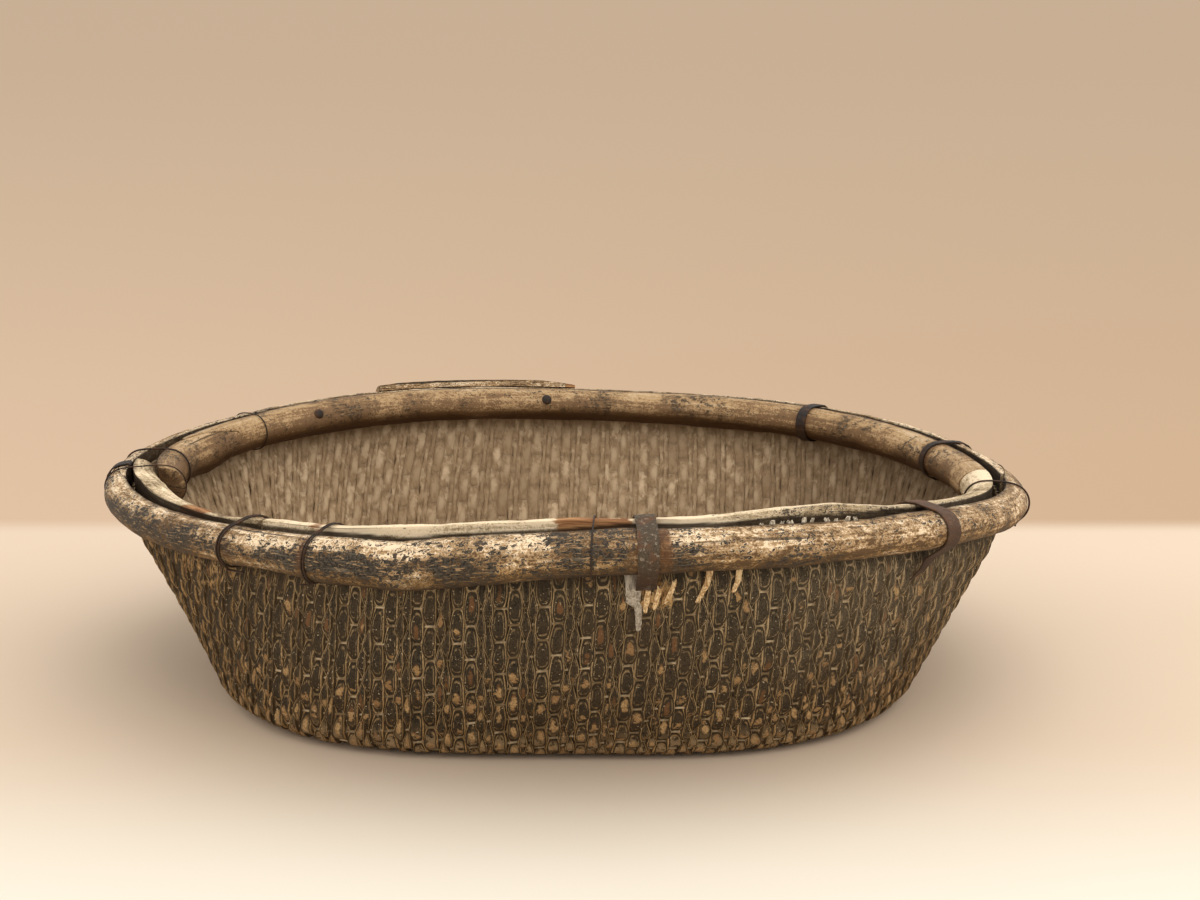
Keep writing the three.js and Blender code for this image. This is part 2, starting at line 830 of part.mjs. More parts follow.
// Nail: driven in through the back pole's shoulder, through the wall and into the outer hoop
function nail(angle, grow) {
  const frame = rimFrame(angle);
  const q = nailSeatTurn * degrees;
  const bulge = innerHoopThickness * Math.cos(q) ** hoopRoundness;
  const seatOff = -(innerBack.inset(angle) + bulge);
  const seatRise = (innerHoopHeight / 2) * (Math.sin(q) - 1);
  const into = frame.out.clone().multiplyScalar(Math.cos(nailSlope * degrees))
    .addScaledVector(frame.rise, -Math.sin(nailSlope * degrees));
  const headRadius = nailHeadRadius + grow;
  const shankRadius = nailShankRadius + grow;
  const dome = [0, 1, 2].map((step) => new THREE.Vector2(
    headRadius * Math.sin((step * Math.PI) / 6),
    -(nailHeadHeight + grow) * Math.cos((step * Math.PI) / 6)));
  const profile = [
    ...dome,
    new THREE.Vector2(headRadius, 0),
    new THREE.Vector2(headRadius, nailHeadRim + grow),
    new THREE.Vector2(shankRadius, nailHeadRim + grow),
    new THREE.Vector2(shankRadius, nailLength - nailPoint + grow),
    new THREE.Vector2(0, nailLength + grow),
  ];
  const geometry = new THREE.LatheGeometry(profile, nailSides);
  const axis = new THREE.Quaternion().setFromUnitVectors(new THREE.Vector3(0, 1, 0), into);
  geometry.applyQuaternion(axis);
  const seat = place(frame, seatOff, seatRise);
  geometry.translate(seat.x, seat.y, seat.z);
  return geometry;
}

// Every binding, by its place round the rim; a tail below zero runs the other way
const outerOnly = [outerFront, outerBack];
const tabOff = wallThickness / 2 + bindingGap + strapThickness;
const tabTop = -(outerHoopHeight + tabBelowHoop);
const wires = [
  { name: 'wire_front_left', angle: -137.2, turns: 2, diameter: thickWire, tail: -16, held: poles },
  { name: 'wire_front_left_thin', angle: -123, turns: 2, diameter: thinWire, tail: 7, held: poles },
  { name: 'wire_front_middle', angle: -87.2, turns: 1, diameter: thinWire, tail: 3, held: poles },
  { name: 'wire_right_end', angle: -13, turns: 1, diameter: thickWire, tail: 5, held: poles },
  { name: 'wire_back_left', angle: 150.5, turns: 1, diameter: thinWire, tail: 5, held: poles },
  { name: 'wire_left_end', angle: 173, turns: 1, diameter: thickWire, tail: 5, held: poles },
  { name: 'wire_left_tip', angle: -177, turns: 1, diameter: thinWire, tail: 5, held: poles },
];
const frontTab = [
  { off: tabOff, rise: tabTop - frontTabLength },
  { off: tabOff, rise: tabTop },
];
const pointedTail = [
  { in: 2.2, drop: 12, width: 2, shift: -15 },
  { in: 0.4, drop: 6, width: 6, shift: -7 },
  { in: 0, drop: 0, width: 11, shift: -1 },
];
const rightTab = pointedTail.map((point) => ({
  off: tabOff - point.in, rise: tabTop - point.drop, width: point.width, shift: point.shift,
}));
const backTab = [
  { off: tabOff, rise: tabTop - backTabLength },
  { off: tabOff, rise: tabTop },
];
const straps = [
  { name: 'strap_front', angle: -81.2, width: frontStrapWidth, tab: frontTab, held: poles },
  { name: 'strap_right', angle: -42.8, width: rightStrapWidth, tab: rightTab, held: poles },
  { name: 'strap_back', angle: 47, width: backStrapWidth, tab: backTab, held: poles },
  { name: 'strap_back_right', angle: 16.5, width: backRightStrapWidth, tab: backTab, held: poles },
  { name: 'strap_left_end', angle: 180, width: leftStrapWidth, held: outerOnly },
];
const nails = [
  { name: 'nail_back_left', angle: 140 },
  { name: 'nail_back_middle', angle: 97 },
];

// Materials
function finish(color, roughness, metalness = 0) {
  return new THREE.MeshStandardMaterial({ color, roughness, metalness });
}
const willow = finish(0x54452f, 0.8);
const darkPole = finish(0x6b5236, 0.6);
const backPole = finish(0x8a6a42, 0.5);
const palePole = finish(0xa8946f, 0.75);
const paleStrip = finish(0x9c8862, 0.8);
const rustyIron = finish(0x4a3a30, 0.7, 0.6);
const blackBand = finish(0x26282a, 0.6, 0.2);
const darkWire = finish(0x23211f, 0.55, 0.7);
const nailIron = finish(0x2a2b2e, 0.6, 0.7);

// Assembly
const basket = new THREE.Group();
function add(name, geometry, material) {
  const mesh = new THREE.Mesh(geometry, material);
  mesh.name = name;
  basket.add(mesh);
}

const nailHoles = nails.map(({ angle }) => nail(angle, slotClearance));
const wallCutters = [
  ...wires.map(wireSlot),
  ...straps.filter((strap) => strap.tab).map(strapSlot),
  ...straps.filter((strap) => !strap.tab).map((strap) => band(strap, slotClearance)),
  ...nailHoles,
];
add('woven_wall', cut(loft(allRound().map(wallRing), true), wallCutters), willow);
for (const arc of footArcs) add(arc.name, footArc(arc), willow);
add('woven_floor', floorMat(), willow);
add('outer_hoop_front', pole(outerFront), darkPole);
add('outer_hoop_back', cut(pole(outerBack), nailHoles), backPole);
add('outer_hoop_splice_strip', spliceStrip(), paleStrip);
add('inner_hoop_front_left', pole(innerFrontLeft), palePole);
add('inner_hoop_front_middle', pole(innerFrontMid), palePole);
add('inner_hoop_front_right', pole(innerFrontRight), palePole);
add('inner_hoop_end_block', pole(innerEndBlock), palePole);
add('inner_hoop_back', cut(pole(innerBack), nailHoles), backPole);
add('inner_hoop_back_left', pole(innerBackLeft), backPole);
for (const strap of straps) {
  add(strap.name, band(strap), strap.held === outerOnly ? blackBand : rustyIron);
}
for (const wire of wires) {
  const points = wirePath(wire);
  windingGap(wire.name, points, wire.diameter);
  add(wire.name, tube(points, wire.diameter / 2), darkWire);
}
for (const { name, angle } of nails) add(name, nail(angle, 0), nailIron);

// The origin is under the middle of the whole basket, on the floor
const box = new THREE.Box3().setFromObject(basket);
basket.position.set(-(box.min.x + box.max.x) / 2, -(box.min.y + box.max.y) / 2, -box.min.z);

export default basket;
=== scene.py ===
# %% [markdown]
# # An old willow harvest basket
# The basket is an oval bowl of upright willow rods, held by level hemp cords. Two split poles
# are bent round its mouth, one outside and one inside, and wires and iron straps tie them
# together through the weave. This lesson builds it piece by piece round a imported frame, which
# already has every part at its real size. The frame's plain shells give way to real rods,
# cords and bark here, and nothing is moved or resized.

import bpy
import numpy as np
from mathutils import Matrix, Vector


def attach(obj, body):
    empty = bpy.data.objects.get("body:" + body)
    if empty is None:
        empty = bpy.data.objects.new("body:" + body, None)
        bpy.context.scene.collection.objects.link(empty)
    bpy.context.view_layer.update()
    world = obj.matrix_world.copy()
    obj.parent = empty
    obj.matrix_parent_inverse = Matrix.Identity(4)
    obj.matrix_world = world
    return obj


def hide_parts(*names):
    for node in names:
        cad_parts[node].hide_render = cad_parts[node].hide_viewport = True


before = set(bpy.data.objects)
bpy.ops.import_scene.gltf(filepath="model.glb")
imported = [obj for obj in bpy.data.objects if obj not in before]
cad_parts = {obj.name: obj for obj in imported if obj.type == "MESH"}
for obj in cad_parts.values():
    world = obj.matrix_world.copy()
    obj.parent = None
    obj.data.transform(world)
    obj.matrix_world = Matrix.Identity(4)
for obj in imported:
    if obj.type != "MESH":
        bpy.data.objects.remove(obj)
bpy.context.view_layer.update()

MM = 0.001
print("frame nodes:", len(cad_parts))

# %% [markdown]
# ## Camera
# A straight look along +Y, a little down, from a bit more than a metre away. The lens is set
# first, because every later choice of detail depends on how large a rod is in the picture.

# %% Camera
CAMERA_PLACE = (25.8 * MM, -1086.6 * MM, 359.0 * MM)
CAMERA_DROP = 11.04
LENS = 50.25

camera_data = bpy.data.cameras.new("camera")
camera_data.lens = LENS
camera_data.sensor_width = 36
camera = bpy.data.objects.new("camera", camera_data)
camera.location = CAMERA_PLACE
camera.rotation_euler = (np.radians(90 - CAMERA_DROP), 0, 0)
bpy.context.collection.objects.link(camera)
bpy.context.scene.camera = camera
bpy.context.scene.view_settings.view_transform = "Standard"
print("camera at", CAMERA_PLACE)

# %% [markdown]
# ## Smooth random values
# Bark, rods and iron are uneven, so most shapes below are nudged by smooth random values.
# They are worked out at each point from a fixed seed, so every run gives the same basket.


# %% Random helpers
def lattice(cell, seed):
    """A fixed random value from 0 to 1 for each whole-numbered cell."""
    mixed = cell[:, 0] * 73856093 ^ cell[:, 1] * 19349663 ^ cell[:, 2] * 83492791
    mixed = (mixed ^ (seed * 2654435761)) & 0xFFFFFFFF
    mixed = ((mixed ^ (mixed >> 15)) * 2246822519) & 0xFFFFFFFF
    mixed = ((mixed ^ (mixed >> 13)) * 3266489917) & 0xFFFFFFFF
    return ((mixed ^ (mixed >> 16)) & 0xFFFF) / 65535.0


def lumps(points, size, seed, octaves=3):
    """Smooth random values from -1 to 1, with lumps of the given size in metres."""
    total = np.zeros(len(points))
    weight = 0
    for octave in range(octaves):
        place = np.asarray(points, float) / size * 2**octave + seed * 7.31
        cell = np.floor(place).astype(np.int64)
        part = place - cell
        part = part * part * (3 - 2 * part)
        value = np.zeros(len(points))
        for corner in np.ndindex(2, 2, 2):
            share = np.prod(np.where(corner, part, 1 - part), axis=1)
            value += share * lattice(cell + np.array(corner), seed + octave)
        total += (2 * value - 1) / 2**octave
        weight += 1 / 2**octave
    return total / weight


def ripple(seed, octaves, *ways):
    """Smooth random values over one to three numbers of any kind, with lumps one unit long."""
    place = np.zeros((len(ways[0]), 3))
    place[:, :len(ways)] = np.stack(ways, axis=1)
    return lumps(place, 1, seed, octaves)


def ease(value, low, high):
    """0 below low, 1 above high, and smooth between."""
    share = np.clip((value - low) / (high - low), 0, 1)
    return share * share * (3 - 2 * share)


def pick(count, seed):
    """Random values from 0 to 1, one for each of a count of things."""
    cells = np.stack([np.arange(count), np.zeros(count), np.zeros(count)], axis=1)
    return lattice(cells.astype(np.int64), seed)


print("lumps of 10 mm at the origin:", lumps(np.zeros((1, 3)), 10 * MM, 1).round(3))

# %% [markdown]
# ## Where things lie on the basket
# The rim is not a true oval: its radius and height are sums of a few waves round the basket.
# `on_rim` gives a point by its angle, its distance out from the middle of the wall and its
# rise along the hoops. `on_weave` gives a point by its angle, how far down the wall it lies
# and how far out of it: down the straight flare, round the foot and in under the floor.

# %% Rim and wall
MIDDLE = np.array([10.334, 6.119, 0]) * MM
RIM_RADIUS = 264 * MM
RIM_PLAN = ((2, 17.6, -4.0), (3, -6.4, 5.6), (4, -0.3, -1.4))
# The left end bulges by this much, and over this many degrees to each side
LEFT_BULGE = 6 * MM
LEFT_BULGE_HALF = 20
RIM_HEIGHT = 144 * MM
RIM_SAG = ((2, -7.3, -5.2), (3, -1.3, 1.1), (4, -1.2, 1.0))
FLOOR_RADIUS = 200 * MM
FLOOR_PLAN = ((2, 21.2, -1.3), (4, -7.0, 0))
FLOOR_MIDDLE = MIDDLE + np.array([-6.6, -1.4, 0]) * MM
WALL = 8 * MM
# Radius of the bend at the foot; depths of the wall's knee and cut top under the rim
EDGE_RADIUS = 21 * MM
KNEE = 30.5 * MM
WALL_TOP = 4 * MM
# The hoops lean by this many degrees
HOOP_TILT = 3
# The wall turns from the hoops' lean to its own flare over this length, up and down
FLARE_TURN = 8 * MM
UP = np.array([0.0, 0.0, 1.0])


def spun(angle, radius, height):
    """Points by angle, radius and height."""
    turn = np.radians(angle)
    return np.stack([radius * np.cos(turn), radius * np.sin(turn), height], axis=-1)


def waves(table, angle):
    """Sum of waves round the basket, each given as its count, cosine and sine in mm."""
    total = 0
    for count, cosine, sine in table:
        total = total + cosine * np.cos(np.radians(count * angle))
        total = total + sine * np.sin(np.radians(count * angle))
    return total * MM


def turned(angle):
    """The same angle from -180 to 180."""
    return (np.asarray(angle, float) + 180) % 360 - 180


def rim_point(angle):
    angle = np.asarray(angle, float)
    bulge = LEFT_BULGE * np.exp(-((turned(angle - 180) / LEFT_BULGE_HALF) ** 2))
    radius = RIM_RADIUS + waves(RIM_PLAN, angle) + bulge
    return MIDDLE + spun(angle, radius, RIM_HEIGHT + waves(RIM_SAG, angle))


def unit(vectors):
    return vectors / np.linalg.norm(vectors, axis=-1, keepdims=True)


def rim_axes(angle):
    """Outward and rising directions of the hoops at an angle."""
    nudge = 0.01
    run = unit(rim_point(angle + nudge) - rim_point(angle - nudge))
    flat_out = unit(np.cross(run, UP))
    tilt = np.radians(HOOP_TILT)
    out = flat_out * np.cos(tilt) - UP * np.sin(tilt)
    rise = flat_out * np.sin(tilt) + UP * np.cos(tilt)
    return out, rise


def on_rim(angle, off, rise):
    out_way, rise_way = rim_axes(angle)
    return rim_point(angle) + out_way * off[..., None] + rise_way * rise[..., None]


def on_weave(angle, down, out):
    """Points of the weave, with the wall's middle as out = 0."""
    out_way, rise_way = rim_axes(angle)
    top = rim_point(angle) - rise_way * WALL_TOP
    knee = rim_point(angle) - rise_way * KNEE
    outer_knee = knee + out_way * WALL / 2
    # The foot is bent round a circle, which touches both the floor and the straight flare
    radius = FLOOR_RADIUS + waves(FLOOR_PLAN, angle)
    foot = FLOOR_MIDDLE + spun(angle, radius, np.zeros_like(radius))
    away = (outer_knee - foot) * [1, 1, 0]
    reach = np.linalg.norm(away, axis=-1)
    away = unit(away)
    climb = outer_knee[..., 2] - EDGE_RADIUS
    bend = np.arctan2(climb, reach) - np.arccos(EDGE_RADIUS / np.hypot(reach, climb))
    arc = EDGE_RADIUS - WALL / 2
    centre = foot + UP * EDGE_RADIUS

    def spoke(lean):
        return away * np.cos(lean)[..., None] + UP * np.sin(lean)[..., None]

    # Three lengths lie above the floor: between the hoops, down the flare and round the foot
    touch = centre + spoke(bend) * arc
    first = KNEE - WALL_TOP
    second = np.linalg.norm(touch - knee, axis=-1)
    third = arc * (bend + np.pi / 2)
    place = top - rise_way * np.minimum(down, first)[..., None]
    place = place + unit(touch - knee) * np.clip(down - first, 0, second)[..., None]
    past = np.clip(down - first - second, 0, third)
    lean = bend - past / arc
    place = np.where((past > 0)[..., None], centre + spoke(lean) * arc, place)
    place = place - away * np.maximum(down - first - second - third, 0)[..., None]
    # Which way the face of the weave looks at each point
    blend = ease(down, first - FLARE_TURN, first + FLARE_TURN)[..., None]
    facing = unit(out_way * (1 - blend) + spoke(bend) * blend)
    facing = np.where((past > 0)[..., None], spoke(lean), facing)
    return place + facing * out[..., None]


def foot_depth(angle):
    """How far down the wall its foot ends, where the floor begins."""
    fine = np.linspace(0, 0.25, 251)
    points = on_weave(np.full(251, float(angle)), fine, np.zeros(251))
    return float(fine[np.argmax(points[:, 2] < WALL / 2 + 0.02 * MM)])


FOOT_DEPTHS = [foot_depth(angle) for angle in range(0, 361, 10)]
print("rim front:", rim_point(-90.0).round(4), "foot", round(FOOT_DEPTHS[27], 4), "m down")

# %% [markdown]
# ## Sheets rolled up into rods and poles
# A rod, a pole, a cord and a strap are all long things with one cross-section. Each starts as
# a flat grid, whose points are then rolled round the section and laid along the piece. The
# long edges are welded, the ends filled, and the faces turned outwards. A grid brings its own
# UV map, which becomes a ruler along and round the piece, so that grain can follow it.


# %% Roll-up helpers
def choose(*pieces):
    """Selects these pieces and nothing else, with the first one active."""
    bpy.ops.object.select_all(action="DESELECT")
    for piece in pieces:
        piece.select_set(True)
    if pieces:
        bpy.context.view_layer.objects.active = pieces[0]


def read_points(piece, what="co"):
    """The place of every point, or its normal."""
    flat = np.empty(len(piece.data.vertices) * 3)
    piece.data.vertices.foreach_get(what, flat)
    return flat.reshape(-1, 3)


def flat_grid(name, along, around):
    """A new grid, and each point's share of the way along and around it."""
    choose()
    bpy.ops.mesh.primitive_grid_add(x_subdivisions=along, y_subdivisions=around, size=1)
    piece = bpy.context.object
    piece.name = name
    piece.data.name = name
    shares = np.clip(read_points(piece)[:, :2] + 0.5, 0, 1)
    return piece, shares[:, 0], shares[:, 1]


def lay(piece, points):
    piece.data.vertices.foreach_set("co", np.asarray(points, float).ravel())
    piece.data.update()


def mark(piece, name, values):
    """Writes one number per point, which a material can read."""
    layer = piece.data.attributes.new(name, "FLOAT", "POINT")
    layer.data.foreach_set("value", np.asarray(values, float))


def set_ruler(piece, across, along):
    """UV map from two numbers per point."""
    loops = np.empty(len(piece.data.loops), dtype=np.int32)
    piece.data.loops.foreach_get("vertex_index", loops)
    ruler = np.stack([across[loops], along[loops]], axis=1)
    piece.data.uv_layers[0].data.foreach_set("uv", ruler.ravel())


def mend(piece, weld, fill=True, quads=False):
    """Welds a piece's points, closes its holes and turns its faces outwards."""
    choose(piece)
    bpy.ops.object.mode_set(mode="EDIT")
    bpy.ops.mesh.select_all(action="SELECT")
    bpy.ops.mesh.remove_doubles(threshold=weld)
    if quads:
        bpy.ops.mesh.tris_convert_to_quads(
            face_threshold=np.radians(40), shape_threshold=np.radians(120))
    if fill:
        bpy.ops.mesh.select_all(action="SELECT")
        bpy.ops.mesh.fill_holes(sides=0)
    bpy.ops.mesh.select_all(action="SELECT")
    bpy.ops.mesh.normals_make_consistent(inside=False)
    bpy.ops.object.mode_set(mode="OBJECT")


def smooth(angle):
    """Smooth shading, but for edges sharper than this."""
    bpy.ops.object.shade_smooth_by_angle(angle=np.radians(angle))


def close_up(piece, weld=0.01 * MM, angle=60, fill=True):
    mend(piece, weld, fill)
    smooth(angle)


def join(name, pieces):
    choose(*pieces)
    bpy.ops.object.join()
    pieces[0].name = name
    pieces[0].data.name = name
    return pieces[0]


def finish_piece(piece, material, slot, *nodes):
    """Gives a piece its material, and takes the place of frame nodes. The slot is not used."""
    piece.data.materials.clear()
    piece.data.materials.append(material)
    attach(piece, "root")
    if nodes:
        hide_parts(*nodes)
    print(f"{piece.name}: {len(piece.data.polygons)} faces")


print("roll-up helpers ready")

# %% [markdown]
# ## Material helpers
# Each finish is a small web of nodes: noise at the sizes the real surface shows, mixed between
# a few named colours. A `Value` is what a node gives out. Values add, multiply and compare like
# numbers, and each such sum makes a math node, which keeps every finish readable.


# %% Node helpers
def arithmetic(operation, flipped=False):
    """How a value and another one, or a number, are joined in a math node."""
    def joined(value, other=0.0):
        pair = (other, value) if flipped else (value, other)
        return value.finish.math(operation, *pair)
    return joined


class Value:
    """What a node gives out."""

    def __init__(self, finish, socket):
        self.finish = finish
        self.socket = socket

    __add__ = __radd__ = arithmetic("ADD")
    __mul__ = __rmul__ = arithmetic("MULTIPLY")
    __sub__ = arithmetic("SUBTRACT")
    __rsub__ = arithmetic("SUBTRACT", flipped=True)
    __truediv__ = arithmetic("DIVIDE")
    __rtruediv__ = arithmetic("DIVIDE", flipped=True)
    __pow__ = arithmetic("POWER")
    __mod__ = arithmetic("MODULO")
    __lt__ = arithmetic("LESS_THAN")
    __gt__ = arithmetic("GREATER_THAN")
    __abs__ = arithmetic("ABSOLUTE")
    floor = arithmetic("FLOOR")
    fraction = arithmetic("FRACT")
    at_least = arithmetic("MAXIMUM")


class Finish:
    """A material or world under construction, with a helper for each kind of node."""

    def __init__(self, name, world=None):
        self.material = world or bpy.data.materials.new(name)
        self.material.use_nodes = True
        self.tree = self.material.node_tree
        self.shader = self.tree.nodes["Background" if world else "Principled BSDF"]

    def node(self, kind, **settings):
        made = self.tree.nodes.new(kind)
        for key, value in settings.items():
            setattr(made, key, value)
        return made

    def feed(self, socket, value):
        if isinstance(value, Value):
            self.tree.links.new(value.socket, socket)
        elif isinstance(value, tuple) and len(value) == 3 and socket.type == "RGBA":
            socket.default_value = (*value, 1)
        else:
            socket.default_value = value

    def give(self, node, which, *values):
        """One output of a node, after its first inputs are fed."""
        for socket, value in zip(node.inputs, values):
            self.feed(socket, value)
        return Value(self, node.outputs[which])

    def math(self, operation, first, second=0.0, clamp=False):
        made = self.node("ShaderNodeMath", operation=operation, use_clamp=clamp)
        return self.give(made, 0, first, second)

    def mix(self, share, first, second, blend="MIX"):
        """From the first colour to the second, or through a share of tinted glass."""
        made = self.node("ShaderNodeMix", data_type="RGBA", blend_type=blend)
        for number, value in ((0, share), (6, first), (7, second)):
            self.feed(made.inputs[number], value)
        return Value(self, made.outputs[2])

    def step(self, value, low, high):
        """0 below low and 1 above high."""
        made = self.node("ShaderNodeMapRange", interpolation_type="SMOOTHSTEP")
        return self.give(made, 0, value, low, high)

    def place(self, scale=(1, 1, 1), ruler=False):
        """Object coordinates, or the piece's own UV ruler, stretched by a scale."""
        source = self.give(self.node("ShaderNodeTexCoord"), "UV" if ruler else "Object")
        made = self.node("ShaderNodeMapping")
        made.inputs["Scale"].default_value = scale
        return self.give(made, 0, source)

    def parts(self, place):
        """The three numbers of a place."""
        made = self.node("ShaderNodeSeparateXYZ")
        return [self.give(made, number, place) for number in range(3)]

    def noise(self, place, scale, detail=4, rough=0.6, twist=0.0):
        made = self.node("ShaderNodeTexNoise")
        settings = {"Vector": place, "Scale": scale, "Detail": detail, "Roughness": rough,
                    "Distortion": twist}
        for name, value in settings.items():
            self.feed(made.inputs[name], value)
        return Value(self, made.outputs[0])

    def attribute(self, name):
        return self.give(self.node("ShaderNodeAttribute", attribute_name=name), "Fac")

    def random(self, first, second, third):
        """Three random values for each whole-numbered triple."""
        joined = self.give(self.node("ShaderNodeCombineXYZ"), 0, first, second, third)
        colour = self.give(self.node("ShaderNodeTexWhiteNoise"), "Color", joined)
        made = self.node("ShaderNodeSeparateColor")
        return [self.give(made, number, colour) for number in range(3)]

    def bump(self, height, depth, distance):
        made = self.node("ShaderNodeBump")
        made.inputs["Strength"].default_value = depth
        made.inputs["Distance"].default_value = distance
        self.feed(made.inputs["Height"], height)
        self.feed(self.shader.inputs["Normal"], Value(self, made.outputs[0]))

    def show_instead(self, share, other, output):
        """Shows another shader in place of the usual one, by share."""
        usual, special = (Value(self, shader.outputs[0]) for shader in (self.shader, other))
        shown = self.give(self.node("ShaderNodeMixShader"), 0, share, usual, special)
        self.feed(self.tree.nodes[output].inputs["Surface"], shown)

    def seen_straight(self):
        """1 where the camera sees the surface itself, 0 for its light on other things."""
        return self.give(self.node("ShaderNodeLightPath"), "Is Camera Ray")

    def done(self, colour, rough, shine=0.5):
        """Sets the colour, and returns the material."""
        settings = {"Base Color": colour, "Roughness": rough, "Specular IOR Level": shine}
        for name, value in settings.items():
            self.feed(self.shader.inputs[name], value)
        print("finish:", self.material.name)
        return self.material


print("node helpers ready")


# %% [markdown]
# ## Willow finish
# Old willow keeps its dark bark in the middle of each rod's face and has lost it along both
# sides, so every face has a khaki outline. Some faces are rubbed through to orange-tan wood,
# most of all low on the wall. Inside, where the sun bleached it, the same rod is a paler
# khaki. The UV ruler counts rods one way and faces of the weave the other way, so whole
# numbers give each face its own chance, and fractions tell where on the face a point lies.


# %% Willow finish
# A face fills this share of its rod's place on the ruler, so that its edges never touch
RULER_SHARE = 0.88


def willow_finish():
    f = Finish("aged_willow")
    here = f.place()
    ruler_across, ruler_along, _ = f.parts(f.place(ruler=True))
    x, _, height = f.parts(here)
    inside = f.attribute("inside")
    rod = ruler_across.floor()
    shifted = ruler_along + 0.5 - inside * 0.5
    chance = f.random(rod, shifted.floor(), inside)
    fine = f.noise(f.place((1, 1, 0.45)), 1300, 3, 0.75)
    streak = f.noise(f.place((1, 1, 0.22)), 520, 3, 0.65)
    blotch = f.noise(here, 210, 3)
    broad = f.noise(here, 11, 3)
    sideways = (ruler_across.fraction() - 0.5) * (2 / RULER_SHARE)
    across = abs(sideways)
    off_middle = shifted.fraction() - 0.5
    along = abs(off_middle) * 2

    # Outline of the barked face: a long box with round corners, or a lens on the narrow rods
    narrow = rod % 4.0 > 1.5
    width = 0.87 - narrow * 0.07
    power = 3.3 - narrow * 1.6
    reach = ((across / width) ** power + (along / 0.985) ** power) ** (1.0 / power)
    reach = reach + (blotch - 0.5) * 0.22
    outline = f.step(reach, 0.95, 1.02)

    bark = f.mix(f.step(fine, 0.36, 0.64), (0.007, 0.006, 0.0045), (0.036, 0.028, 0.018))
    bark = f.mix(f.step(streak, 0.52, 0.66) * 0.34, bark, (0.090, 0.062, 0.034))
    bark = f.mix(chance[0] * 0.18, bark, (0.070, 0.042, 0.021))
    khaki = f.mix(chance[1], (0.32, 0.22, 0.105), (0.66, 0.485, 0.265))
    khaki = f.mix(f.attribute("dusty"), khaki, (0.80, 0.66, 0.47))
    khaki = f.mix(f.step(fine, 0.45, 0.60) * 0.55, khaki, (0.115, 0.068, 0.029))
    outside = f.mix(outline, bark, khaki)
    # A second, broken line runs inside the outline, where the bark has cracked
    cracked = f.step(reach, 0.62, 0.68) * (1.0 - f.step(reach, 0.74, 0.80))
    cracked = cracked * f.step(streak, 0.44, 0.54)
    outside = f.mix(cracked * 0.55, outside, khaki)
    # Painted shade darkens the furrows between the rods and the places where four faces meet
    furrow_shade = f.step(across, 0.965, 1.0).at_least(f.step(reach, 1.09, 1.16))
    outside = f.mix(furrow_shade * 0.88, outside, (0.011, 0.008, 0.005))

    # The bark is warmer low down and at the left end
    low = 1.0 - f.step(height, 0.008, 0.085)
    leftmost = 1.0 - f.step(x, -0.27, -0.10)
    warm = low.at_least(leftmost) * 0.75 + 0.25
    outside = f.mix(warm, outside, (0.84, 0.71, 0.54), "MULTIPLY")

    # Faces rubbed through to the wood: dull streaks anywhere, bright scars most of all low down
    run = off_middle - (chance[1] - 0.5) * 0.5
    uneven = (blotch - 0.5) * 3.0 + (fine - 0.5) * 1.6

    def scar(wide, long, low_edge, high_edge):
        """A ragged patch on the face, by its width and length."""
        spot = (across * wide) ** 2.0 + (run * long) ** 2.0 + uneven
        return 1.0 - f.step(spot, low_edge, high_edge)

    dull = scar(2.1, 3.2, 0.30, 0.75) * (chance[0] < 0.17)
    russet = f.mix(fine, (0.085, 0.034, 0.013), (0.27, 0.125, 0.048))
    outside = f.mix(dull * 0.8, outside, russet)
    likely = low * 0.66 + 0.09 + (broad - 0.5) * 0.6
    rubbed = scar(1.25, 4.0, 0.20, 0.40) * (chance[2] < likely)
    lowest = 1.0 - f.step(height, 0.012, 0.052)
    lens = scar(1.5, 3.2, 0.25, 0.50) * (chance[1] < lowest * 0.75)
    # Right at the foot every bend stands proud and is rubbed, with dark furrows between
    nub = (1.0 - f.step(height, 0.006, 0.026)) * (1.0 - f.step(reach, 0.55, 0.9))
    nub = nub * f.step(f.noise(here, 330, 2), 0.36, 0.5)
    worn = f.mix(fine, (0.20, 0.125, 0.055), (0.55, 0.39, 0.21))
    outside = f.mix(nub * 0.85, outside, worn)
    wood = f.mix(f.step(fine, 0.3, 0.7), (0.21, 0.115, 0.043), (0.62, 0.41, 0.19))
    wood = f.mix(chance[0] * 0.5, wood, (0.17, 0.070, 0.024))
    outside = f.mix(rubbed.at_least(lens), outside, wood)
    # Torn ends and patches show raw, straw-coloured wood
    torn = f.attribute("torn") * f.step(f.noise(f.place((1, 1, 0.25)), 620, 2), 0.40, 0.50)
    raw = f.mix(f.step(streak, 0.35, 0.65), (0.34, 0.17, 0.055), (0.66, 0.44, 0.20))
    outside = f.mix(torn, outside, raw)
    # Cream crumbs of old lime and straw, then dust, then painted shadow close under the hoops
    crumb = f.step(f.noise(here, 690, 1, 0.4), 0.715, 0.745)
    outside = f.mix(crumb * 0.8, outside, (0.58, 0.46, 0.30))
    dusty = f.attribute("dusty") * f.step(fine, 0.30, 0.62)
    outside = f.mix(dusty * 0.75, outside, (0.34, 0.27, 0.175))
    outside = f.mix(f.attribute("hoop_shadow") * 0.62, outside, (0.012, 0.008, 0.004))

    # Inside, the crown of each bow gets a painted highlight, and so do blobs between the crowns
    beside = sideways - (chance[1] - 0.5) * 0.7
    crown_highlight = (beside * 1.5) ** 2.0 + (along * 2.1) ** 2.0 + (blotch - 0.5) * 2.2
    crown_highlight = (1.0 - f.step(crown_highlight, -0.2, 1.7)) * (0.85 - narrow * 0.6)
    highlight_blobs = f.step(f.noise(f.place((1, 1, 0.55)), 205, 2), 0.50, 0.64) * 0.7
    bright = f.mix(chance[0], (0.42, 0.30, 0.18), (0.74, 0.57, 0.375))
    dusk = f.mix(f.step(streak, 0.3, 0.7), (0.28, 0.186, 0.102), (0.43, 0.30, 0.175))
    inner = f.mix(crown_highlight.at_least(highlight_blobs), dusk, bright)
    inner = f.mix(chance[2] * 0.35, inner, (0.25, 0.168, 0.095))
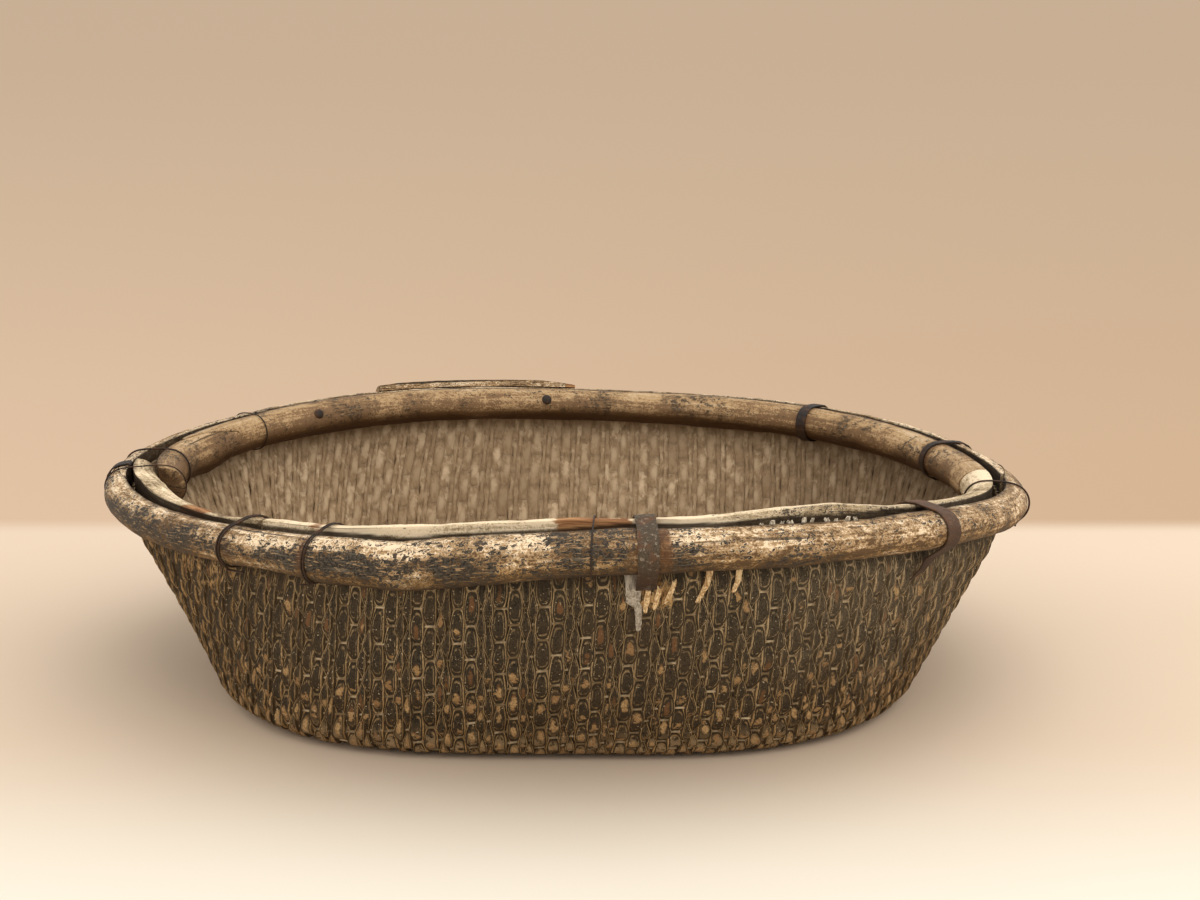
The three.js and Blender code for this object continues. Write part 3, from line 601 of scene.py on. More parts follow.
    # Painted shade darkens the right end of the inside, and each end of a face, where the rod
    # dips behind a cord
    inner = f.mix(f.step(x, 0.09, 0.25) * 0.45, inner, (0.075, 0.045, 0.022))
    inner = f.mix(f.step(along, 0.72, 0.95) * 0.25, inner, (0.12, 0.078, 0.042))

    colour = f.mix(inside, outside, inner)
    colour = f.mix(f.step(broad, 0.35, 0.7) * 0.18, colour, (0.115, 0.072, 0.036))
    f.bump(fine * 0.8 + outline * 0.8 + streak, 0.7, 0.5 * MM)
    return f.done(colour, fine * 0.35 + 0.50, 0.12)


willow = willow_finish()

# %% [markdown]
# ## One rod, then the whole weave
# Real rods are woven one by one over tight cords, so each bows out over one cord and in behind
# the next, and its neighbours do the opposite. One straight rod is rolled up first. An Array
# lays copies side by side, and then every point is moved on to the wall: a wave brings it out
# or in, and the rod spreads a little wherever it bows out. Wide and narrow rods come in pairs,
# as in the real weave, where two rods were pushed together between each pair of wide ones.

# %% Sizes of the weave
RODS = 304
WEAVE_PIECES = 4
# Of the four rods in a group: place, half width, and how much wider each is where it bows out
GROUP = (0.165, 0.492, 0.742, 0.907)
HALF_WIDTHS = (0.170, 0.168, 0.100, 0.094)
SPREADS = (0.014, 0.014, 0.036, 0.036)
ROD_HALF_THICKNESS = 1.9 * MM
WAVE = 1.25 * MM
# A rod of the wall is cut this finely along its length
ROD_STEP = 2.7 * MM
# Degrees by which the rods fan out towards the foot, most of all between front and sides
FAN = 12.3
# Depth down the wall in mm, and how many cord spacings lie above it
CORD_STEPS = ((0, 0), (63.5, 5), (125, 10), (147, 12.2), (164, 14.6), (210, 21))
CORD_DEPTHS, CORD_COUNTS = np.array(CORD_STEPS).T * [[MM], [1]]
# Section of a rod: a face with raised lips at both sides, and a wider, rounder back
ROD_SECTION = ((1, 0.15), (0.95, 0.70), (0.85, 0.96), (0.66, 0.84), (0, 0.76), (-0.66, 0.84),
               (-0.85, 0.96), (-0.95, 0.70), (-1, 0.15), (-1.12, -0.45), (-0.95, -0.84),
               (-0.5, -0.98), (0.5, -0.98), (0.95, -0.84), (1.12, -0.45))


def ring_angles(down):
    """Angles of evenly spaced places round the wall, at one depth."""
    fine = np.linspace(-180, 180, 3601)
    ring = on_weave(fine, np.full(3601, down), np.zeros(3601))
    lengths = np.concatenate([[0], np.cumsum(np.linalg.norm(np.diff(ring, axis=0), axis=1))])
    return fine, lengths / lengths[-1]


RING_ANGLES, RING_SHARES = ring_angles(30 * MM)


def fanned(angle, share):
    """Angle of a rod a share of the way down: front and back rods keep upright."""
    return angle - FAN * np.sin(np.radians(2 * angle)) * share


def angle_at(share):
    """Angle by the share of the way round the wall."""
    whole = np.floor(share)
    return np.interp(share - whole, RING_SHARES, RING_ANGLES) + 360 * whole


def sway(angle, seed, size):
    """Slow random swing round the basket."""
    return lumps(spun(angle, 1, 0 * angle) * 0.25, size, seed, 2)


def cord_sway(angle):
    """How far the cords, and the bends of the rods with them, wander up from level."""
    return 1.6 * MM * sway(angle, 7, 0.12)


# No rod stands quite in its place or is quite as wide as the others
groups = RODS // 4
rod_numbers = np.arange(RODS)
rod_shares = (rod_numbers // 4 + np.array(GROUP)[rod_numbers % 4]) / groups
rod_shares += (pick(RODS, 3) - 0.5) * 0.03 / groups
rod_halves = np.array(HALF_WIDTHS)[rod_numbers % 4] / groups
rod_halves *= 1 + (pick(RODS, 4) - 0.4) * 0.10
print(RODS, "rods, the first at", round(float(angle_at(rod_shares[:1])[0]), 1), "degrees")


# %% Roll up one rod
ROD_SPACE = 1.5


def straight_rod(name, steps):
    """A rod one unit wide and long: x across, y along, z outwards."""
    section = np.array(ROD_SECTION + ROD_SECTION[:1])
    piece, along, around = flat_grid(name, steps, len(ROD_SECTION))
    across, out = section[np.round(around * len(ROD_SECTION)).astype(int)].T
    lay(piece, np.stack([across / 2, along, out], axis=1))
    close_up(piece, weld=0.002, angle=80)
    return piece


def row_of_rods(name, steps, count):
    """Rods next to each other, and of each point its rod and its place on that rod."""
    piece = straight_rod(name, steps)
    row = piece.modifiers.new("row", "ARRAY")
    row.count = count
    row.use_relative_offset = False
    row.use_constant_offset = True
    row.constant_offset_displace = (ROD_SPACE, 0, 0)
    bpy.ops.object.modifier_apply(modifier=row.name)
    x, along, out = read_points(piece).T
    copy = np.round(x / ROD_SPACE).astype(int)
    return piece, copy, (x - copy * ROD_SPACE) * 2, along, out


sample_rod = straight_rod("sample_rod", 8)
print("one rod has", len(sample_rod.data.polygons), "faces")
bpy.data.objects.remove(sample_rod)


# %% Weave the wall
# The backs of the rods are pressed flatter than their faces
BACK_PRESS = 0.5
BACK_OUT = -0.05


def woven_wall(name, first, count):
    """Rods of the wall, counted round it from the first one."""
    depth = max(FOOT_DEPTHS) + 1 * MM
    piece, copy, across, along, face = row_of_rods(name, int(depth / ROD_STEP), count)
    rod = first + copy
    centre = angle_at(rod_shares[rod])
    place_angle = turned(centre)
    # Ragged rod ends stand high between the hoops at the right of the front
    ragged = ease(place_angle, -72, -66) * ease(-place_angle, 46, 52)
    top = 3 * MM * pick(RODS, 5)[rod] + 4 * MM - 9.0 * MM * ragged * pick(RODS, 14)[rod]
    foot = np.interp(place_angle % 360, np.arange(0, 361, 10), FOOT_DEPTHS)
    down = top + along * (foot - top)
    uneven = 0.9 * MM * (pick(RODS, 8)[rod] - 0.5)
    cords = np.interp(down + cord_sway(centre) + uneven, CORD_DEPTHS, CORD_COUNTS)
    phase = np.cos(np.pi * (cords + rod))
    free = ease(down, 22 * MM, 36 * MM)
    half = rod_halves[rod] + np.array(SPREADS)[rod % 4] / groups * phase * free
    swing = 0.026 / groups * ripple(9, 1, rod * 0.7, cords * 0.8)
    angle = fanned(angle_at(rod_shares[rod] + across * half + swing * free), down / foot)
    thick = ROD_HALF_THICKNESS * (0.45 + 0.55 * free)
    pressed = np.where(face < 0, BACK_PRESS, 1.0)
    out = WAVE * phase * free * pressed + thick * face
    out = out + 0.25 * MM * ripple(10, 1, rod, cords * 2, across) * free
    lay(piece, on_weave(angle, down, out))
    # The ruler counts rods and, along each, the faces that bow out
    set_ruler(piece, rod + (across * RULER_SHARE + 1) / 2, (cords + rod) / 2)
    mark(piece, "inside", face < BACK_OUT)
    # Torn rods beside the front strap, brown ones at the left, and split ends at the right
    bite = ripple(11, 2, angle * 3, down * 120, rod)
    torn = (np.abs(place_angle + 80.2) < 1.7) & (down < 43 * MM) & (down > 24 * MM)
    brown = (np.abs(place_angle + 144) < 7) & (down < 42 * MM) & (down > 16 * MM)
    patch = np.maximum(torn * ease(bite, -0.25, -0.05), 0.75 * brown * ease(bite, 0.05, 0.25))
    split_end = ragged * ease(-down, -3 * MM, 0)
    mark(piece, "torn", np.maximum(patch, split_end))
    # Painted shadow on the weave just under the hoops
    mark(piece, "hoop_shadow", ease(-down - 5 * MM * bite, -32 * MM, -19 * MM) * (1 - split_end))
    # Dust lies at the right of the front, most of it in clouds high on the wall
    far_right = ease(place_angle, -80, -52) * ease(-place_angle, 22, 40)
    cloud = ripple(15, 3, angle * 0.12, down * 25)
    veil = 0.30 * far_right * ease(-down, -0.12, -0.03)
    clouds = 0.8 * far_right * ease(cloud, 0.05, 0.6) * ease(-down, -0.14, -0.07)
    mark(piece, "dusty", np.clip(0.10 + veil + clouds, 0, 1))
    smooth(70)
    return piece


QUARTER = RODS // WEAVE_PIECES
wall_nodes = [["woven_wall"], ["woven_foot_right", "woven_foot_back"], ["woven_foot_left"],
              ["woven_foot_front"]]
for quarter in range(WEAVE_PIECES):
    rods = woven_wall(f"willow_rods_{quarter + 1}", quarter * QUARTER, QUARTER)
    finish_piece(rods, willow, "willow_weave", *wall_nodes[quarter])

# %% [markdown]
# ## Cords
# The rods are held by twisted hemp cords, pulled tight at every bend. Each shows only as a
# short pale dash between two rods. A cord is a thin tube round the whole wall that follows
# the same slow sway as the bends in the rods.


# %% Hemp cords
CORD_RADIUS = 0.8 * MM
CORD_SIDES = 6


def hemp_finish():
    f = Finish("hemp_cord")
    twist = f.noise(f.place(), 1200, 2)
    patch = f.noise(f.place(), 90, 3)
    colour = f.mix(f.step(patch, 0.42, 0.68), (0.20, 0.138, 0.072), (0.68, 0.54, 0.35))
    colour = f.mix(twist * 0.35, colour, (0.08, 0.054, 0.03))
    colour = f.mix(f.attribute("inside"), colour, (0.20, 0.135, 0.075))
    f.bump(twist, 0.4, 0.3 * MM)
    return f.done(colour, 0.85, 0.15)


hemp = hemp_finish()


def cord(name, points, closed):
    """A round tube through a list of points."""
    points = np.asarray(points, float)
    count = len(points)
    ahead = np.roll(points, -1, axis=0) - points
    back = points - np.roll(points, 1, axis=0)
    if not closed:
        ahead[-1] = back[-1]
        back[0] = ahead[0]
    forward = unit(unit(ahead) + unit(back))
    # One way across is carried from point to point, so that the tube never twists
    side = unit(np.cross(forward[0], UP + np.array([0.01, 0.02, 0])))
    sides = []
    for way in forward:
        side = unit(side - way * side.dot(way))
        sides.append(side)
    sides = np.array(sides)
    other = np.cross(forward, sides)
    rings = count if closed else count - 1
    piece, along, around = flat_grid(name, rings, CORD_SIDES)
    index = np.round(along * rings).astype(int) % count
    turn = 2 * np.pi * around
    ring = sides[index] * np.cos(turn)[:, None] + other[index] * np.sin(turn)[:, None]
    lay(piece, points[index] + ring * CORD_RADIUS)
    close_up(piece, angle=70, fill=not closed)
    return piece


def from_middle(points):
    """Angle and distance of points from the middle of the floor."""
    away = (points - FLOOR_MIDDLE)[:, :2]
    return np.arctan2(away[:, 1], away[:, 0]), np.linalg.norm(away, axis=1)


def cords_round_wall(name, counts):
    made = []
    for count in counts:
        angle = np.linspace(-180, 180, 541)[:-1]
        down = np.interp(count, CORD_COUNTS, CORD_DEPTHS) - cord_sway(angle)
        out = 0.25 * MM + 0.15 * MM * sway(angle, 20 + count, 0.02)
        way = on_weave(angle, down, out)
        made.append(cord(f"cord_{count}", way, closed=True))
        ways, reach = from_middle(way)
        order = np.argsort(ways)
        turn, own = from_middle(read_points(made[-1]))
        mark(made[-1], "inside", own < np.interp(turn, ways[order], reach[order]) - 0.1 * MM)
    return join(name, made)


finish_piece(cords_round_wall("wall_cords", range(3, 15)), hemp, "willow_weave")

# %% [markdown]
# ## Torn splints
# Beside the front strap some rods have split. Pale splints hang down over the weave: one wide
# and weathered grey, the others fresh and straw coloured. Each is a thin, flat, ragged tube
# that lies on the wall.


# %% Hang the splints
def splint_finish(name, dark, light):
    f = Finish(name)
    streak = f.noise(f.place((1, 1, 0.12)), 900, 3, 0.7)
    fine = f.noise(f.place(), 1300, 2, 0.6)
    colour = f.mix(f.step(streak, 0.36, 0.62), dark, light)
    colour = f.mix(f.step(fine, 0.55, 0.66) * 0.5, colour, (0.10, 0.055, 0.022))
    f.bump(streak + fine, 0.5, 0.3 * MM)
    return f.done(colour, 0.8)


def splint(name, out, *stations):
    """A splint through stations of angle, depth in mm and width in mm."""
    piece, s, t = flat_grid(name, 40, 10)
    angles, depths, widths = np.array(stations).T
    at = np.linspace(0, 1, len(stations))
    turn = 2 * np.pi * t
    ragged = ripple(61, 2, s * 14, np.cos(turn) * 0.7, s * 0 + depths[0])
    frayed = ripple(62, 2, np.cos(turn) * 2.5, s * 0, s * 0 + depths[-1])
    across = np.cos(turn) * np.interp(s, at, widths) * MM / 2 * (1 + 0.12 * ragged)
    angle = np.interp(s, at, angles) + np.degrees(across / RIM_RADIUS)
    down = np.interp(s, at, depths) * MM + 2 * MM * frayed * ease(np.abs(s - 0.5), 0.3, 0.5)
    lay(piece, on_weave(angle, down, out + 0.5 * MM * np.sin(turn) + 0.3 * MM * ragged))
    close_up(piece)
    return piece


straw = splint_finish("straw_splint", (0.36, 0.19, 0.065), (0.86, 0.64, 0.36))
grey_straw = splint_finish("grey_splint", (0.20, 0.165, 0.125), (0.50, 0.44, 0.36))
grey = splint("grey_splint", 3.0 * MM, (-82.7, 17, 9.5), (-82.6, 30, 8.5), (-82.5, 36, 7.5),
              (-81.8, 40, 4.5), (-81.4, 50, 3.6), (-81.2, 58, 2.6))
finish_piece(grey, grey_straw, "willow_weave")
STRAW_SPLINTS = (((-73.7, 19, 3.6), (-74.2, 29, 3.4), (-74.7, 39, 2.6)),
                 ((-70.2, 19, 3.6), (-70.4, 26, 3.4), (-70.6, 33, 2.8)),
                 ((-77.9, 24, 2.4), (-78.2, 31, 3.2), (-78.6, 38, 2.0)),
                 ((-80.9, 28, 3.0), (-80.9, 36, 3.4), (-80.8, 44, 2.2)),
                 ((-79.6, 27, 2.6), (-79.7, 34, 3.2), (-79.8, 42, 2.4)))
for number, stations in enumerate(STRAW_SPLINTS):
    piece = splint(f"straw_splint_{number + 1}", 3.1 * MM, *stations)
    finish_piece(piece, straw, "willow_weave")

# %% [markdown]
# ## Broken rod ends
# Between the front strap and the right one the hoops gape, and rods that broke off under them
# stand in the gap as short pale stumps of uneven height. They are splints that begin above
# the wall's cut edge.

# %% Set the stumps
pale_end = splint_finish("pale_rod_end", (0.30, 0.235, 0.16), (0.84, 0.73, 0.56))
# Angle, height over the cut edge in mm and width in mm
STUMPS = ((-67.4, 2.8, 2.6), (-66.3, 3.8, 3.4), (-65.3, 3.0, 2.8), (-63.9, 3.2, 4.2),
          (-62.3, 4.0, 3.2), (-61.4, 3.3, 2.4), (-59.1, 3.0, 3.6), (-58.0, 2.3, 2.6),
          (-56.5, 2.7, 3.8), (-55.1, 2.4, 2.8))
for number, (place, high, wide) in enumerate(STUMPS):
    lean = 0.25 * (number % 3 - 1)
    stump = splint(f"rod_stump_{number + 1}", 1.6 * MM, (place + lean, -high, wide * 0.9),
                   (place, 0, wide), (place, 6, wide))
    finish_piece(stump, pale_end, "willow_weave")

# %% [markdown]
# ## Floor
# Under the foot the rods lie flat. The floor is woven like the wall: rods run from front to
# back, and cords cross them. Each rod is as long as the oval is wide at its place. The rods
# are laid in two halves, left and right, so that no piece grows too large.

# %% Weave the floor
FLOOR_PITCH = 5 * MM
FLOOR_CORD_STEP = 10 * MM
FLOOR_OVERLAP = 2.5 * MM
# The floor's rods go on counting from here, so that none looks like a rod of the wall
FLOOR_FIRST_ROD = 400
FLOOR_ROD_STEPS = 130
SHORTEST_CORD = 20 * MM


def floor_outline():
    angle = np.linspace(-180, 180, 1441)
    radius = FLOOR_RADIUS + waves(FLOOR_PLAN, angle) + FLOOR_OVERLAP
    return (FLOOR_MIDDLE + spun(angle, radius, 0 * angle))[:, :2]


def floor_sway(x):
    """How far the cords wander from straight, in cord spacings."""
    return 0.15 * ripple(12, 1, x * 20)


def floor_rods(name, half_number):
    """The left (0) or right (1) half of the floor's rods."""
    edge = floor_outline()
    left, right = edge[:, 0].min(), edge[:, 0].max()
    total = int((right - left) / FLOOR_PITCH)
    first = half_number * (total // 2)
    count = total - total // 2 if half_number else total // 2
    piece, copy, across, along, face = row_of_rods(name, FLOOR_ROD_STEPS, count)
    copy = copy + first
    x = left + (np.arange(total) + 0.5) * (right - left) / total

    def ends(side):
        side = side[np.argsort(side[:, 0])]
        return np.interp(x, side[:, 0], side[:, 1])[copy]

    behind = edge[:, 1] >= edge[:, 1].mean()
    front, back = ends(edge[~behind]), ends(edge[behind])
    y = front + along * (back - front)
    cords = y / FLOOR_CORD_STEP + floor_sway(x[copy])
    phase = np.cos(np.pi * (cords + copy))
    half = FLOOR_PITCH * (0.5 + 0.09 * phase)
    swing = 0.3 * MM * ripple(13, 1, copy, cords)
    out = WAVE * phase + (ROD_HALF_THICKNESS - 0.05 * MM) * face
    lay(piece, np.stack([x[copy] + across * half + swing, y, WALL / 2 - out], axis=1))
    number = FLOOR_FIRST_ROD + copy + (across * RULER_SHARE + 1) / 2
    set_ruler(piece, number, (cords + copy) / 2)
    mark(piece, "inside", face < BACK_OUT)
    for share in ("torn", "hoop_shadow", "dusty"):
        mark(piece, share, np.zeros(len(x[copy])))
    close_up(piece, weld=0.001 * MM, angle=70, fill=False)
    return piece


def floor_cords(name):
    edge = floor_outline()
    made = []
    low, high = edge[:, 1].min(), edge[:, 1].max()
    for number in range(int(np.ceil(low / FLOOR_CORD_STEP)), int(high / FLOOR_CORD_STEP) + 1):
        y = number * FLOOR_CORD_STEP
        inside = edge[np.abs(edge[:, 1] - y) < 3 * MM]
        if len(inside) < 2 or np.ptp(inside[:, 0]) < SHORTEST_CORD:
            continue
        x = np.linspace(inside[:, 0].min() + MM, inside[:, 0].max() - MM, 160)
        wave = floor_sway(x) * FLOOR_CORD_STEP
        way = np.stack([x, y - wave, np.full(160, WALL / 2)], axis=1)
        made.append(cord(f"floor_cord_{number}", way, closed=False))
        mark(made[-1], "inside", read_points(made[-1])[:, 2] > WALL / 2)
    return join(name, made)


finish_piece(floor_rods("floor_rods_left", 0), willow, "willow_weave", "woven_floor")
finish_piece(floor_rods("floor_rods_right", 1), willow, "willow_weave")
finish_piece(floor_cords("floor_cords"), hemp, "willow_weave")

# %% [markdown]
# ## Rim poles
# Each hoop is a pole split lengthwise, with its flat side against the weave. The ends are
# scarfed: they taper past each other. A grid is rolled round a D-shaped section and run round
# the rim. Slow lumps bend it, and where bark is left on, it stands a little proud of the wood.
# The bark is one number per point, shared by the shape and the colour, so they always agree.

# %% Pole shapes
# Powers that shape the round front and the nearly flat back of a pole's section
ROUNDNESS = 0.8
BACK_ROUNDNESS = 0.6
BACK_BULGE = 0.5 * MM
# The flat side of a pole lies this far from the middle of the wall
FLAT = 4.3 * MM
OUTER_THICK = 14.2 * MM
OUTER_HIGH = 25.5 * MM
INNER_THICK = 16 * MM
INNER_HIGH = 25 * MM
# Of a scarf: thickness of its tip, degrees of its shoulder, and the gap between its two poles
TIP = 2 * MM
SHOULDER = 3
MATING = 0.3 * MM
# The front poles swell, thin and wander: share of the height, and lift in mm, by angle
OUTER_SWELL = ((-186, 0.95), (-165, 0.88), (-145, 0.87), (-129, 0.88), (-121, 1.03), (-111, 1.05),
               (-105, 1.06), (-99, 1.02), (-90, 0.93), (-84, 0.96), (-75, 0.9), (-65, 0.9),
               (-55, 0.82), (-48, 0.88), (-36, 0.83), (-20, 0.86), (-4, 0.97))
OUTER_LIFT = ((-170, 0), (-158, -1.4), (-145, -1.2), (-129, -0.7), (-118, -0.5), (-111, -1.6),
              (-105, 1), (-99, 2), (-84, 2.5), (-79, 0.7), (-70, -0.7), (-55, -2.8), (-48, -1),
              (-36, -0.4), (-20, 0))
INNER_LIFT = ((-165, 0), (-145, -2), (-135, 1.6), (-121, 2), (-111, 4.2), (-105, 5.2), (-99, 6),
              (-90, 6.2), (-84, 4), (-75, 2.5), (-70, 3), (-65, 3.8), (-57, 4.4), (-48, 0.4),
              (-20, 0))


def curve(angle, *pairs):
    """Straight lines between pairs of angle and value."""
    return np.interp(angle, *zip(*pairs))


def scarf_cut(angle, start, end, thickness, direction, part):
    """Depth of a scarf plane: the outer-lying pole keeps what is beyond it."""
    tip, root = (start, end) if direction > 0 else (end, start)
    step = SHOULDER * direction
    if part == "near":
        pairs = ((tip, thickness - TIP), (root, TIP), (root + step, -BACK_BULGE))
    else:
        pairs = ((tip - step, thickness + MM), (tip, thickness - TIP - MATING),
                 (root, TIP - MATING))
    return curve(angle, *(pairs if direction > 0 else pairs[::-1]))


def tip_share(angle):
    """The rounded tip of the front left pole: its share of the full section."""
    to_end = np.clip((angle + 183) / 3.5, 0, 1)
    return 0.45 + 0.55 * np.sqrt(1 - (1 - to_end) ** 2)


def swerve(angle):
    """The inner back poles leave the wall towards the left end."""
    return FLAT + 12.5 * MM * curve(angle, (148, 0), (165, 0.16), (177, 0.64), (184, 1))


def inner_lift(angle):
    return MM * curve(angle, *INNER_LIFT)


def outer_pole(span, **own):
    """An outer pole, with its own curves in place of the usual ones."""
    return {"side": 1, "span": span, "full": OUTER_THICK, "inset": lambda a: 0 * a + FLAT,
            "thick": lambda a: 0 * a + OUTER_THICK, "lift": lambda a: 0 * a, **own}


def inner_pole(span, **own):
    return {"side": -1, "span": span, "full": INNER_THICK, "inset": lambda a: 0 * a + FLAT,
            "thick": lambda a: 0 * a + INNER_THICK, "high": lambda a: 0 * a + INNER_HIGH,
            "lift": lambda a: 0 * a, **own}


POLES = {
    "outer_front": outer_pole(
        (-186, 8),
        high=lambda a: OUTER_HIGH * curve(a, *OUTER_SWELL),
        lift=lambda a: MM * curve(a, *OUTER_LIFT),
        near=lambda a: np.where(a < -90, scarf_cut(a, -186, -174, OUTER_THICK, 1, "near"),
                                scarf_cut(a, -4, 8, OUTER_THICK, -1, "near"))),
    "outer_back": outer_pole(
        (-4, 186),
        high=lambda a: 0 * a + OUTER_HIGH * 0.97,
        far=lambda a: np.where(a < 90, scarf_cut(a, -4, 8, OUTER_THICK, -1, "far"),
                               scarf_cut(a, 174, 186, OUTER_THICK, 1, "far"))),
    "inner_front_left": inner_pole(
        (-183, -135.0),
        inset=lambda a: curve(a, (-183, -2.7 * MM), (-170, FLAT)),
        thick=lambda a: tip_share(a) * curve(a, (-183, 13 * MM), (-170, INNER_THICK)),
        high=lambda a: tip_share(a) * curve(
            a, (-183, 12 * MM), (-170, 17 * MM), (-158, INNER_HIGH)),
        lift=inner_lift),
    "inner_front_middle": inner_pole(
        (-134.6, -80), lift=inner_lift,
        far=lambda a: scarf_cut(a, -92, -80, INNER_THICK, 1, "far")),
    "inner_front_right": inner_pole(
        (-92, -1.8), lift=inner_lift,
        near=lambda a: scarf_cut(a, -92, -80, INNER_THICK, 1, "near")),
    "inner_end_block": inner_pole(
        (-1.6, 4.6),
        thick=lambda a: 0 * a + INNER_THICK * 1.06,
        high=lambda a: 0 * a + INNER_HIGH * 1.02),
    "inner_back": inner_pole(
        (4.8, 166), inset=swerve,
        far=lambda a: scarf_cut(a, 156, 166, INNER_THICK, 1, "far")),
    "inner_back_left": inner_pole(
        (156, 184), inset=swerve,
        high=lambda a: INNER_HIGH * curve(a, (156, 1), (162, 1.2), (170, 1.1), (184, 1.08)),
        near=lambda a: scarf_cut(a, 156, 166, INNER_THICK, 1, "near")),
}
# Near these angles straps and wires hold the poles, so the poles stay true to size there
BINDING_ANGLES = (-187, -177, -137.2, -123, -87.2, -81.2, -42.8, -13, 16.5, 47, 150.5, 173,
                  180, 183)


def section(pole, angle, turn):
    """Distance out from the wall's middle, and rise, at a turn round the pole's section."""
    inset = pole["inset"](angle)
    thick = pole["thick"](angle)
    high = pole["high"](angle)
    front = thick * np.clip(np.cos(turn), 0, 1) ** ROUNDNESS
    back = -BACK_BULGE * np.clip(-np.cos(turn), 0, 1) ** BACK_ROUNDNESS
    bulge = np.where(np.cos(turn) >= 0, front, back)
    height = np.sin(turn)
    if "near" in pole:
        near = pole["near"](angle)
        widest = np.arccos(np.clip(near / thick, 0, 1) ** (1 / ROUNDNESS))
        height = np.clip(height, -np.sin(widest), np.sin(widest))
        bulge = np.maximum(bulge, near)
    if "far" in pole:
        bulge = np.minimum(bulge, pole["far"](angle))
    return pole["side"] * (inset + bulge), pole["lift"](angle) + high / 2 * (height - 1)


print(len(POLES), "poles")

# %% [markdown]
# ## Pole finishes
# All poles share one finish, set by numbers on their points: how much bark is left, how much
# grime and painted shade they carry, and how red a torn spot is. Only the colours of wood and
# bark differ from pole to pole. Grain runs along the pole, so its noise is stretched on the UV
# ruler.


# %% Pole finish
def pole_finish(name, wood_colours, bark_colours, shade, gloss, speckled):
    """Wood from brown to cream, under bark from dark to light."""
    f = Finish(name)
    brown, tan, cream = wood_colours
    here = f.place()
    grain = f.noise(f.place((26, 700, 1), ruler=True), 1, 5, 0.68, 0.35)
    broad_grain = f.noise(f.place((11, 170, 1), ruler=True), 1, 5, 0.65, 0.5)
    crack = f.noise(f.place((7, 330, 1), ruler=True), 1, 3, 0.6, 0.5)
    scratch = f.noise(f.place((150, 1500, 1), ruler=True), 1, 2, 0.6, 0.4)
    speck = f.noise(f.place((260, 640, 1), ruler=True), 1, 2, 0.6, 0.6)
    flake = f.noise(here, 215, 8, 0.80, 0.25)
    fleck = f.noise(here, 900, 2, 0.6)
    patch = f.noise(here, 48, 4, 0.6)
    specks = (fleck - 0.5) + (speck - 0.5) * speckled

    # Wood: brown in the hollows, then tan, and cream where it is rubbed or bleached, and towards
    # the top, where the cream is partly a painted highlight
    tone = f.attribute("pale") + (broad_grain - 0.5) * 1.4 + specks + (grain - 0.5) * 0.9
    golden = f.mix(f.attribute("gold"), tan, (0.40, 0.235, 0.085))
    wood = f.mix(f.step(tone, 0.14, 0.40), brown, golden)
    wood = f.mix(f.step(tone, 0.44, 0.72), wood, cream)
    lines = 1.0 - f.step(crack, 0.285, 0.345)
    wood = f.mix(lines * 0.8, wood, (0.040, 0.026, 0.015))
    # Bark: slate black to grey brown, flaking off in small crumbs
    left = f.attribute("bark") + (flake - 0.5) * 1.7 + specks
    covered = f.step(left, 0.465, 0.535)
    skin = f.mix(f.step(fleck, 0.38, 0.66), *bark_colours)
    skin = f.mix(f.step(patch, 0.5, 0.7) * 0.45, skin, (0.085, 0.050, 0.026))
    # Grey streaks along the grain on the bark: a painted sheen
    skin = f.mix(f.step(grain, 0.56, 0.66) * 0.55, skin, (0.175, 0.148, 0.108))
    skin = f.mix(f.step(scratch, 0.58, 0.63) * 0.75, skin, golden)
    colour = f.mix(covered, wood, skin)
    # Reddish torn wood
    torn = f.step(f.attribute("torn") + (broad_grain - 0.5) * 1.3, 0.42, 0.60)
    red = f.mix(f.step(grain, 0.35, 0.62), (0.15, 0.048, 0.017), (0.50, 0.26, 0.11))
    colour = f.mix(torn, colour, red)
    # Rust washed down from the iron, then the dark underside and backs, partly grime and partly
    # painted shade
    rust = f.math("MULTIPLY", f.attribute("rust"), patch * 0.9 + 0.35, clamp=True)
    colour = f.mix(rust, colour, (0.13, 0.052, 0.017))
    under = f.math("MULTIPLY", f.attribute("shade_and_grime"), broad_grain * 0.75 + 0.55, clamp=True)
    colour = f.mix(under, colour, shade)
    f.bump(covered * 0.8 + grain * 0.55 + fleck * 0.5 - lines * 0.8, 0.8, 0.6 * MM)
    return f.done(colour, 0.92 - gloss - covered * 0.10 + fleck * 0.2, 0.22)


BROWN_SHADE = (0.032, 0.017, 0.007)
mottled = pole_finish(
    "mottled_bark", ((0.125, 0.070, 0.030), (0.42, 0.27, 0.135), (0.92, 0.73, 0.50)),
    ((0.015, 0.012, 0.009), (0.085, 0.067, 0.047)), BROWN_SHADE, 0.36, 1.7)
bleached = pole_finish(
    "bleached_wood", ((0.19, 0.125, 0.066), (0.56, 0.43, 0.26), (0.95, 0.77, 0.53)),
    ((0.040, 0.034, 0.030), (0.14, 0.115, 0.088)), BROWN_SHADE, 0.25, 0.8)
handled = pole_finish(
    "handled_wood", ((0.21, 0.12, 0.056), (0.47, 0.305, 0.15), (0.60, 0.44, 0.27)),
    ((0.045, 0.028, 0.016), (0.12, 0.078, 0.042)), (0.054, 0.021, 0.0035), 0.42, 0.9)

# %% [markdown]
# ## Looks of the poles
# The bark is thick on the outer front pole, darkest at its left half and low on its side, and
# all but gone on the inner poles. One table holds what differs from pole to pole, so that a
# pole can be changed without touching the code.

# %% Looks of the poles
# How much bark the outer front pole has kept, and how cream it is, by angle
OUTER_BARK = ((-186, 0.50), (-160, 0.54), (-142, 0.56), (-124, 0.50), (-110, 0.52), (-98, 0.47),
              (-84, 0.47), (-74, 0.36), (-50, 0.27), (-20, 0.24), (8, 0.24))
OUTER_PALE = ((-186, 0.22), (-150, 0.28), (-112, 0.36), (-92, 0.30), (-76, 0.24), (-56, 0.24),
              (-40, 0.18), (8, 0.14))
